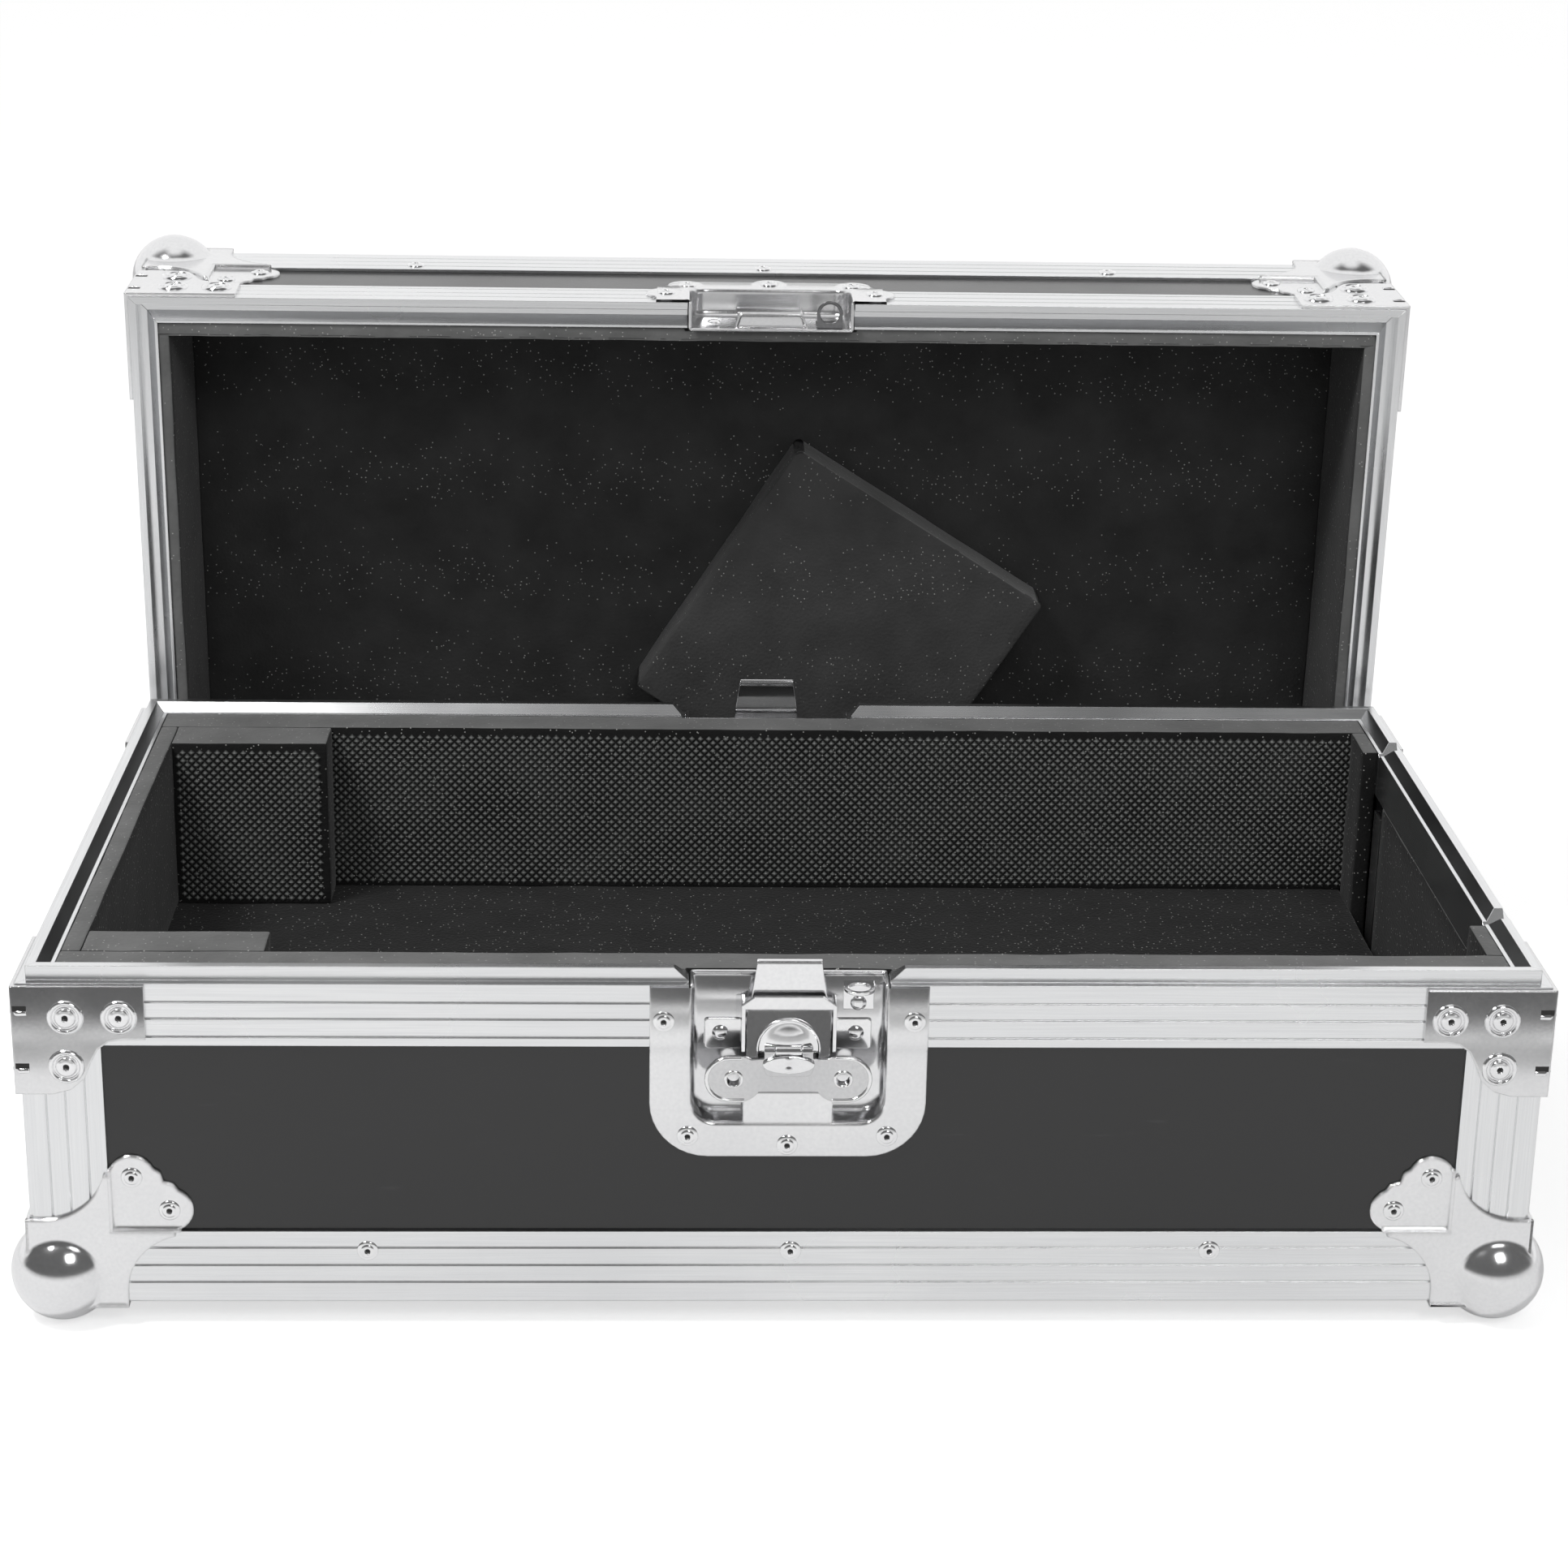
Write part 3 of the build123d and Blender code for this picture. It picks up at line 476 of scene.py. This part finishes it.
def u_path(half, deep, radius, top, inset, side=22, bend=9, floor=8):
    """A U from its top left, down and round to its top right, drawn in by an inset."""
    half -= inset
    deep -= inset
    radius = max(radius - inset, 0.5)
    drop = [top + (-deep + radius - top) * i / side for i in range(side)]
    left = [(-half, height) for height in drop]
    first = arc(-half + radius, -deep + radius, radius, 180, 270, bend)
    span = half - radius
    bottom = [(-span + 2 * span * i / floor, -deep) for i in range(1, floor)]
    second = arc(half - radius, -deep + radius, radius, 270, 360, bend)
    return left + first + bottom + second + [(half, height) for height in reversed(drop)]


def on_step(height):
    """How far the flange stands out: over the rim, or stepped down on to the sheet."""
    share = min(max((height - SHEET_STEP) / STEP_RUN, 0.0), 1.0)
    return ON_SHEET + (FLANGE - ON_SHEET) * share * share * (3 - 2 * share)


def tube(bm, spots, radius, place, sides=10):
    """Add a round bar along its spots, closed at its ends."""
    rings = []
    for i, spot in enumerate(spots):
        ahead = spots[min(i + 1, len(spots) - 1)] - spots[max(i - 1, 0)]
        turn = ahead.to_track_quat("Z", "Y").to_matrix()
        rings.append([bm.verts.new(place @ (spot + turn @ Vector(
            (radius * cos(2 * pi * k / sides), radius * sin(2 * pi * k / sides), 0))))
            for k in range(sides)])
    for first, second in zip(rings, rings[1:]):
        for k in range(sides):
            bm.faces.new((first[k], first[(k + 1) % sides], second[(k + 1) % sides], second[k]))
    for ring in (rings[0], rings[-1]):
        bm.faces.new(ring)


def drawn_dish(bm, deep, radius, flange_half, flange_deep, flange_radius, place):
    """Flange, lip, walls and back of a dish, as one skin.

    Each ring has its outline, how far it is drawn in, and its height over the flange or its depth.
    """
    outer = (flange_half, flange_deep, flange_radius)
    inner = (DISH_HALF, deep, radius)
    skin = []
    for shape, inset, rise, depth in (
            (outer, 0.0, -1.2, None), (outer, 0.0, -0.4, None), (outer, 0.15, -0.1, None),
            (outer, 0.5, 0.0, None), (inner, -2.6, 0.0, None), (inner, -1.7, 0.12, None),
            (inner, -1.0, 0.12, None), (inner, -0.4, -0.2, None), (inner, -0.05, -0.9, None),
            (inner, 0.0, 0.0, 2.6), (inner, 0.1, 0.0, 9.8), (inner, 0.5, 0.0, 11.0),
            (inner, 1.1, 0.0, 11.7), (inner, 2.2, 0.0, DISH_DEPTH)):
        ring = []
        for x, height in u_path(*shape, -0.5, inset):
            out = -depth if depth is not None else on_step(height) + rise
            ring.append(bm.verts.new(place @ Vector((x, height, out))))
        skin.append(ring)
    for first, second in zip(skin, skin[1:]):
        for i in range(len(first) - 1):
            bm.faces.new((first[i], first[i + 1], second[i + 1], second[i]))
    bm.faces.new(skin[-1])
    tube(bm, [Vector((x, 0.4, -DISH_DEPTH - 0.2)) for x in (-DISH_HALF, DISH_HALF)], 0.8, place)
    for x in (-DISH_HALF, DISH_HALF):
        tube(bm, [Vector((x, -0.2, 0.3)), Vector((x, 0.1, -3.0)), Vector((x, 0.4, -DISH_DEPTH))],
             0.7, place)


def box_outline(low_x, low_y, high_x, high_y, radius):
    """A rectangle with rounded corners, anticlockwise."""
    points = []
    for x, y, start in ((high_x - radius, low_y + radius, 270), (high_x - radius, high_y - radius, 0),
                        (low_x + radius, high_y - radius, 90), (low_x + radius, low_y + radius, 180)):
        points += arc(x, y, radius, start, start + 90, 5)
    return points


for end, side in (("front", "south"), ("rear", "north")):
    bm = bmesh.new()
    wall = BASE @ WALLS[side]
    drawn_dish(bm, deep=55.5, radius=9.0, flange_half=51.5, flange_deep=69.5, flange_radius=22.0,
               place=wall)
    pressed_plate(bm, [box_outline(*STOP, 0.9)], BACK_PLATE, STOP_FACE, wall, 0.7)
    dish = piece_from(bm, f"{end}_dish", "base", "latch_steel", STEP_STEEL)
    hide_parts(f"{end}_latch_dish")


# Lid keepers: a shallower dish of the same make, with a lobe of flange round each rivet. The latch
# hook draws down on the ridge across its back, which has a rolled lip along each side.
KEEPER_RIVETS = ((-46.5, -14.0, FLANGE), (46.5, -14.0, FLANGE), (-37.0, -34.0, ON_SHEET),
                 (37.0, -34.0, ON_SHEET), (0.0, -37.0, ON_SHEET))
KEEPER_LOBE = 8.0
LOBE_REACH = 1.02
REAR_PAD = (-15.0, -22.95, 15.0, -15.45)
PAD_FACE = -8.0
RIDGE_AT = -3.75
RIDGE_HALF = 1.25
RIDGE = ([(-16.0, BACK_PLATE), (16.0, BACK_PLATE)] + arc(12.6, -7.2, 1.6, 10, 90, 4)
         + arc(-12.6, -7.2, 1.6, 90, 170, 4))
RIDGE_LIP = ((-15.4, -11.0), (-14.2, -7.2), (-13.7, -6.1), (-12.6, -5.7), (12.6, -5.7), (13.7, -6.1),
             (14.2, -7.2), (15.4, -11.0))
LIP_HEIGHTS = (-2.45, -5.05)
LIP_RADIUS = 0.5

for end, side in (("front", "north"), ("rear", "south")):
    bm = bmesh.new()
    wall = LID @ WALLS[side]
    drawn_dish(bm, deep=27.0, radius=8.0, flange_half=51.0, flange_deep=41.0, flange_radius=20.0,
               place=wall)
    for x, height, out in KEEPER_RIVETS:
        lobe = arc(LOBE_REACH * x, LOBE_REACH * height, KEEPER_LOBE, 0, 350, 35)
        pressed_plate(bm, [lobe], out - 1.15, out - 0.08, wall, 0.3)
    pressed_plate(bm, [box_outline(*REAR_PAD, 2.0)], BACK_PLATE, PAD_FACE, wall, 0.9)
    across = Matrix(((1, 0, 0, 0), (0, 0, 1, RIDGE_AT), (0, 1, 0, 0), (0, 0, 0, 1)))
    pressed_plate(bm, [RIDGE], -RIDGE_HALF, RIDGE_HALF, wall @ across, 0.9)
    for height in LIP_HEIGHTS:
        tube(bm, [Vector((x, height, out)) for x, out in RIDGE_LIP], LIP_RADIUS, wall)
    keeper = piece_from(bm, f"{end}_keeper", "lid", "latch_steel", STEEL)
    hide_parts(f"lid_{end}_keeper")


# Rivets: pop rivets with a domed flange and a hollow end, set from outside. Those in the corner
# plates sit in round pressed dimples. One piece holds all the rivets of a body.
POP = ((0.0, 0.1), (0.9, 0.1), (1.1, 1.0), (1.9, 1.2), (2.5, 1.0), (2.7, 0.75), (3.4, 0.7), (3.9, 0.45),
       (4.05, 0.0))
SOLID_HEAD = ((0.0, 1.25), (0.9, 1.18), (1.8, 0.95), (2.6, 0.5), (3.05, 0.0))
DIMPLE = ((0.0, 0.1), (0.95, 0.1), (1.2, 1.1), (2.0, 1.3), (2.8, 1.0), (3.5, 0.85), (4.1, 0.05),
          (4.7, 0.05), (5.3, 0.9), (5.9, 1.05), (6.4, 0.8), (6.8, 0.0))
ON_CORNER = 1.7
ON_BACK = -10.8
TAB_RIVETS = ((38.7, 52.2), (52.2, 38.7))
PLATE_RIVETS = ((18.0, -12.8), (37.4, -12.8), (17.5, -32.3))
LONG_BAR_RIVETS = (-157.0, 2.0, 161.0)
SHORT_BAR_RIVETS = (-45.0, 45.0)
BAR_RIVET_UP = 22.0
DISH_RIVETS = ((-46.3, -14.0, FLANGE), (46.3, -14.0, FLANGE), (-37.2, -61.0, ON_SHEET),
               (37.2, -61.0, ON_SHEET), (0.0, -64.6, ON_SHEET))
BRACKET_RIVETS = ((-25.2, -23.5), (25.2, -23.5), (26.0, -11.4))
EYE_RIVET = (25.3, -9.0)
RIM_FACES = (
    Matrix(((1, 0, 0, 0), (0, 0, -1, 0), (0, 1, 0, 0), (0, 0, 0, 1))),
    Matrix(((0, 0, -1, 0), (1, 0, 0, 0), (0, 1, 0, 0), (0, 0, 0, 1))),
)
# The rivets' hollow ends and the lance slits are flat and dark: painted shade, mottled at random.
PAINTED_SHADE, tree, shader = new_material("painted_shade_in_holes")
shade_mottle_at = add(tree, "ShaderNodeTexCoord").outputs["Object"]
shade_mottle = add(tree, "ShaderNodeTexNoise", {"Vector": shade_mottle_at, "Scale": 900.0, "Detail": 3.0})
tree.links.new(blend_colour(tree, shade_mottle.outputs[0], (0.007, 0.007, 0.007), (0.021, 0.020, 0.019)),
               shader.inputs["Base Color"])
shader.inputs["Roughness"].default_value = 0.6


def revolve(bm, profile, place, steps=24, bored=False):
    """Add a turned form: its profile in (radius, height) round the z axis, then placed.

    Where it is bored, its middle is a flat cap in the second material, dark as painted shade.
    """
    rings = []
    for radius, height in profile:
        if radius == 0:
            rings.append([bm.verts.new(place @ Vector((0, 0, height)))])
            continue
        rings.append([bm.verts.new(place @ Vector((
            radius * cos(2 * pi * i / steps), radius * sin(2 * pi * i / steps), height)))
            for i in range(steps)])
    for inner, outer in zip(rings, rings[1:]):
        for i in range(steps):
            j = (i + 1) % steps
            if len(inner) == 1:
                bm.faces.new((inner[0], outer[i], outer[j])).material_index = int(bored)
            else:
                bm.faces.new((inner[i], outer[i], outer[j], inner[j]))


def at(x, height, out):
    """A spot in a wall's frame."""
    return Matrix.Translation((x, height, out))


def corner_rivets(bm, tray, height):
    """Rivets of a tray's four ball corners and four rim corners."""
    for corner in CORNERS:
        for face in BALL_FACES:
            for a, b in TAB_RIVETS:
                place = tray @ Matrix.Translation((0, 0, -height)) @ corner @ face
                revolve(bm, POP, place @ at(a, b, ON_SHEET), bored=True)
        for face in RIM_FACES:
            for a, b in PLATE_RIVETS:
                revolve(bm, DIMPLE, tray @ corner @ face @ at(a, b, ON_CORNER), bored=True)


def bar_rivets(bm, tray, height):
    """Rivets through the edge angles into the sheets."""
    for side in WALLS:
        for x in LONG_BAR_RIVETS if side in ("south", "north") else SHORT_BAR_RIVETS:
            revolve(bm, POP, tray @ WALLS[side] @ at(x, BAR_RIVET_UP - height, 0.0), bored=True)


bm = bmesh.new()
corner_rivets(bm, BASE, BASE_HEIGHT)
bar_rivets(bm, BASE, BASE_HEIGHT)
for side in ("south", "north"):
    wall = BASE @ WALLS[side]
    for x, height, out in DISH_RIVETS:
        revolve(bm, POP, wall @ at(x, height, out), bored=True)
    for x, height in BRACKET_RIVETS:
        revolve(bm, SOLID_HEAD, wall @ at(x, height, ON_BACK))
piece_from(bm, "base_rivets", "base", "corner_steel", CHROME, PAINTED_SHADE)

bm = bmesh.new()
corner_rivets(bm, LID, LID_HEIGHT)
bar_rivets(bm, LID, LID_HEIGHT)
for side in ("south", "north"):
    wall = LID @ WALLS[side]
    for x, height, out in KEEPER_RIVETS:
        revolve(bm, POP, wall @ at(x, height, out), bored=True)
    revolve(bm, SOLID_HEAD, wall @ at(*EYE_RIVET, ON_BACK))
piece_from(bm, "lid_rivets", "lid", "corner_steel", CHROME, PAINTED_SHADE)


# Rim corner lances: each rim corner plate is slit twice at its bend, and the metal below each slit is
# pressed out into a bright lip. The slit above it is a dark sheet: painted shade.
LANCE_HEIGHTS = (-11.2, -34.0)
LANCE_SPAN = 4.0
LANCE_LIP = 1.1
SLIT_OUT = 1.78
SLIT_LOW = 0.7
SLIT_HIGH = 2.9


def lances(bm, corner):
    """The two lips of a rim corner, wrapped round its bend, with a dark sheet of painted shade for the
    slit above each.
    """
    bend = [(LANCE_SPAN, -1.2), (0.6, -1.5), (-1.5, 0.6), (-1.2, LANCE_SPAN)]
    slit = [(LANCE_SPAN, -SLIT_OUT), (-1.0, -SLIT_OUT), (-SLIT_OUT, -1.0), (-SLIT_OUT, LANCE_SPAN)]
    for height in LANCE_HEIGHTS:
        tube(bm, [Vector((x, y, height)) for x, y in bend], LANCE_LIP, corner)
        # The slit is a dark sheet in the second material: painted shade.
        low = [bm.verts.new(corner @ Vector((x, y, height + SLIT_LOW))) for x, y in slit]
        high = [bm.verts.new(corner @ Vector((x, y, height + SLIT_HIGH))) for x, y in slit]
        for i in range(3):
            bm.faces.new((low[i], low[i + 1], high[i + 1], high[i])).material_index = 1


for tray, body in ((BASE, "base"), (LID, "lid")):
    bm = bmesh.new()
    for corner in CORNERS:
        lances(bm, tray @ corner)
    piece_from(bm, f"{body}_corner_lances", body, "corner_steel", CHROME, PAINTED_SHADE)


# Latch pressings: the butterfly wing has rolled rims on its two lobes, an eyelet in each and a raised
# pad between them, held by two small rivets. The cam below it is a shallow dome with a rolled lip.
CAM_AT = (0.0, -26.5)
DOME = ((0.0, -0.95), (3.0, -1.1), (6.0, -1.6), (8.5, -2.25), (10.3, -2.75), (10.9, -2.8),
        (11.3, -2.35), (11.8, -2.3), (12.1, -2.7), (12.1, -3.4))
EYELET = ((2.35, -2.6), (2.35, 0.2), (2.6, 1.6), (3.0, 1.75), (3.5, 1.55), (3.7, 1.2))
SMALL_HEAD = ((0.0, 0.7), (0.8, 0.62), (1.4, 0.35), (1.7, 0.0))
WING_FACE = 1.2
LOBE_AT = (20.3, -37.2)
LOBE_HALF = (10.1, 8.5)
ROLLED_RIM = 0.75
PAD_AT = -31.0
PAD_HALF = (9.7, 3.6)
PAD_THICK = 1.3
PAD_RIVETS = (-29.1, -33.1)


def lobe_rim(hand):
    """The rolled rim of a lobe, from its top round its outer end to its underside."""
    half_x, half_y = LOBE_HALF
    rim = [(LOBE_AT[0] - 3, LOBE_AT[1] + half_y)]
    rim += arc(LOBE_AT[0] + half_x - half_y, LOBE_AT[1], half_y, 90, -90, 12)
    rim += [(LOBE_AT[0] - 4, LOBE_AT[1] - half_y)]
    return [Vector((hand * x, y, WING_FACE)) for x, y in rim]


def oval(half_x, half_y, middle, steps=40):
    """An oval round a height on the wing's middle line, anticlockwise."""
    turns = [2 * pi * i / steps for i in range(steps)]
    return [(half_x * cos(turn), middle + half_y * sin(turn)) for turn in turns]


for end, side in (("front", "south"), ("rear", "north")):
    turned = BASE @ WALLS[side] @ at(*CAM_AT, 0)
    if end == "rear":
        turned = turned @ Matrix.Rotation(pi, 4, "Z")
    bm = bmesh.new()
    revolve(bm, DOME, turned, 48)
    piece_from(bm, f"{end}_cam_dome", f"{end}_cam", "latch_steel", CHROME)
    place = turned @ at(0, -CAM_AT[1], 0)
    bm = bmesh.new()
    for hand in (-1, 1):
        tube(bm, lobe_rim(hand), ROLLED_RIM, place)
        revolve(bm, EYELET, place @ at(hand * LOBE_AT[0], LOBE_AT[1], 0))
    pressed_plate(bm, [oval(*PAD_HALF, PAD_AT)], WING_FACE, WING_FACE + PAD_THICK, place, 0.6)
    for height in PAD_RIVETS:
        revolve(bm, SMALL_HEAD, place @ at(0, height, WING_FACE + 1.0))
    piece_from(bm, f"{end}_wing_pressings", f"{end}_wing", "latch_steel", CHROME)


# Foam lining: soft closed-cell foam, cut with a hot knife and glued in. Each piece follows its
# solid, with softened edges and a slight waviness from the cut. Its faces towards one side (up, or
# out of the lid) are dusty and paler: partly the cut surface, partly painted light from that side.
DUST = (0.34, 0.34, 0.33)
DUST_SIZE = 0.14
DUST_GRID = 450.0


def foam(name, dark, light, dust, cells=700.0):
    """Black foam: small cells, uneven tone and pale specks of dust."""
    made, tree, shader = new_material(name)
    spot = add(tree, "ShaderNodeTexCoord").outputs["Object"]
    cell = add(tree, "ShaderNodeTexVoronoi", {"Vector": spot, "Scale": cells})
    cloud = add(tree, "ShaderNodeTexNoise", {"Vector": spot, "Scale": 45.0, "Detail": 5.0})
    tone = spread(tree, cloud.outputs[0], 0.0, 1.0, 0.32, 0.68)
    body = blend_colour(tree, tone, dark, light)
    grain = add(tree, "ShaderNodeTexVoronoi", {"Vector": spot, "Scale": DUST_GRID})
    near = add(tree, "ShaderNodeMath", {0: grain.outputs["Distance"], 1: DUST_SIZE},
               operation="LESS_THAN")
    some = add(tree, "ShaderNodeMath", {0: grain.outputs["Color"], 1: dust}, operation="GREATER_THAN")
    specks = times(tree, near.outputs[0], some.outputs[0])
    tree.links.new(blend_colour(tree, specks, body, DUST), shader.inputs["Base Color"])
    shader.inputs["Roughness"].default_value = 0.92
    shader.inputs["Specular IOR Level"].default_value = 0.25
    shader.inputs["Sheen Weight"].default_value = 0.12
    shader.inputs["Sheen Roughness"].default_value = 0.5
    bump = add(tree, "ShaderNodeBump", {"Height": cell.outputs["Distance"], "Strength": 0.35,
                                        "Distance": 0.0005})
    tree.links.new(bump.outputs[0], shader.inputs["Normal"])
    return made


def embossed():
    """Foam pressed with small pyramids, a little shiny, dark in the valleys; the pale tips are a painted
    highlight.
    """
    made = foam("embossed_foam", (0.017, 0.018, 0.017), (0.024, 0.025, 0.024), 0.8)
    tree = made.node_tree
    shader = tree.nodes["Principled BSDF"]
    # The tips are pale through their tip attribute: a painted highlight.
    tip = add(tree, "ShaderNodeAttribute", attribute_name="tip").outputs["Fac"]
    plain = shader.inputs["Base Color"].links[0].from_socket
    scuffs_and_painted_tip_highlight = spread(tree, tip, 0.0, 1.0, 0.25, 1.0)
    tree.links.new(blend_colour(tree, scuffs_and_painted_tip_highlight, plain, (0.26, 0.268, 0.26)), shader.inputs["Base Color"])
    shader.inputs["Roughness"].default_value = 0.5
    shader.inputs["Specular IOR Level"].default_value = 0.5
    return made


FOAM = foam("black_foam", (0.0065, 0.0065, 0.0065), (0.0115, 0.0115, 0.0115), 0.4)
LID_FOAM = foam("lid_foam", (0.028, 0.028, 0.028), (0.042, 0.042, 0.042), 0.5)
PALE_FOAM = foam("pale_foam", (0.050, 0.050, 0.050), (0.068, 0.068, 0.068), 0.45)
# Paler foam for faces towards one side: partly the cut surface, partly painted light from that side.
PAINTED_LIGHT_CUT_FOAM = foam("cut_foam_painted_light", (0.115, 0.116, 0.115), (0.155, 0.156, 0.155), 0.5, 420.0)
EMBOSSED_FOAM = embossed()

FOAM_CELL = 0.008
FOAM_SEED = 7
FOAM_WAVE = 0.0003
LONG_WAVES = 45.0
SHORT_WAVES = 190.0
EMBOSS_PITCH = 0.0038
EMBOSS_OUT = 0.0011
EMBOSS_EDGE = 0.001


def cut_grid(bm, cell):
    """Slice a mesh by planes a cell apart along each axis, so that it can take soft relief."""
    for axis in range(3):
        ends = [v.co[axis] for v in bm.verts]
        count = int((max(ends) - min(ends)) / cell)
        normal = Vector([1.0 if i == axis else 0.0 for i in range(3)])
        for i in range(1, count + 1):
            spot = normal * (min(ends) + i * (max(ends) - min(ends)) / (count + 1))
            bmesh.ops.bisect_plane(bm, geom=bm.verts[:] + bm.edges[:] + bm.faces[:], plane_co=spot,
                                   plane_no=normal)


def emboss(bm, low, high):
    """Cover a wall face with small pyramids that stand on their corners. It faces -y, at low y."""
    tips = bm.verts.layers.float.new("tip")
    half = EMBOSS_PITCH / 2
    across = int((high.x - low.x) / half)
    rows = int((high.z - low.z) / half)
    spots = {}

    def corner(i, j):
        if (i, j) not in spots:
            spots[i, j] = bm.verts.new((low.x + i * half, low.y, low.z + j * half))
        return spots[i, j]

    for j in range(1, rows):
        for i in range(1 + j % 2, across, 2):
            tip = bm.verts.new((low.x + i * half, low.y - EMBOSS_OUT, low.z + j * half))
            tip[tips] = 1.0
            ring = (corner(i - 1, j), corner(i, j - 1), corner(i + 1, j), corner(i, j + 1))
            for k in range(4):
                bm.faces.new((ring[k], ring[(k + 1) % 4], tip)).material_index = 2


def foam_piece(name, node, body, up, soft=0.0009, materials=None, embossed=False):
    """Foam after its solid: softened edges, wavy from the cut. Faces along up are cut faces, also paler
    as painted light.
    """
    bm = bmesh.new()
    bm.from_mesh(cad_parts[node].data)
    bmesh.ops.remove_doubles(bm, verts=bm.verts, dist=1e-6)
    bmesh.ops.dissolve_limit(bm, angle_limit=0.02, verts=bm.verts, edges=bm.edges)
    bmesh.ops.bevel(bm, geom=bm.edges[:], offset=soft, segments=2, profile=0.5, affect="EDGES")
    cut_grid(bm, FOAM_CELL)
    for vert in bm.verts:
        vert.co += FOAM_WAVE * noise.noise_vector(vert.co * LONG_WAVES) + (
            FOAM_WAVE * 0.5 * noise.noise_vector(vert.co * SHORT_WAVES))
    bm.normal_update()
    for face in bm.faces:
        # Faces along up take the second, paler material: partly the cut surface, partly painted light.
        face.material_index = 1 if face.normal.dot(up) > 0.75 else 0
        face.smooth = True
    if embossed:
        low, high = (Vector(corner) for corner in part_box(node))
        edge = Vector((EMBOSS_EDGE, 0.0002, EMBOSS_EDGE))
        emboss(bm, low + edge, high - edge)
    mesh = bpy.data.meshes.new(name)
    bm.to_mesh(mesh)
    bm.free()
    piece = link_piece(name, mesh, body, materials or (FOAM, PAINTED_LIGHT_CUT_FOAM, EMBOSSED_FOAM))
    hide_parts(node)


# The waves start from the clock unless they are seeded, and then each run would differ
noise.seed_set(FOAM_SEED)
UP = Vector((0, 0, 1))
OUT_OF_LID = Vector((0, -cos(LEAN), -sin(LEAN)))
foam_piece("floor_foam", "base_floor_foam", "base", UP, materials=(FOAM, FOAM))
for side in ("front", "rear"):
    faces_front = side == "rear"
    foam_piece(f"{side}_wall_foam", f"base_{side}_foam", "base", UP, embossed=faces_front)
    foam_piece(f"left_{side}_block", f"base_left_{side}_block", "base", UP, embossed=faces_front)
    foam_piece(f"right_{side}_wall_foam", f"base_right_{side}_foam", "base", UP)
foam_piece("left_wall_foam", "base_left_foam", "base", UP)
foam_piece("access_felt", "access_panel_felt", "access", UP, soft=0.0004)
foam_piece("lid_top_lining", "lid_top_foam", "lid", OUT_OF_LID, materials=(LID_FOAM, LID_FOAM))
foam_piece("lid_wall_lining", "lid_wall_foam", "lid", OUT_OF_LID, materials=(LID_FOAM, PAINTED_LIGHT_CUT_FOAM))
foam_piece("square_pad", "lid_pad", "lid", UP, materials=(PALE_FOAM, PAINTED_LIGHT_CUT_FOAM))
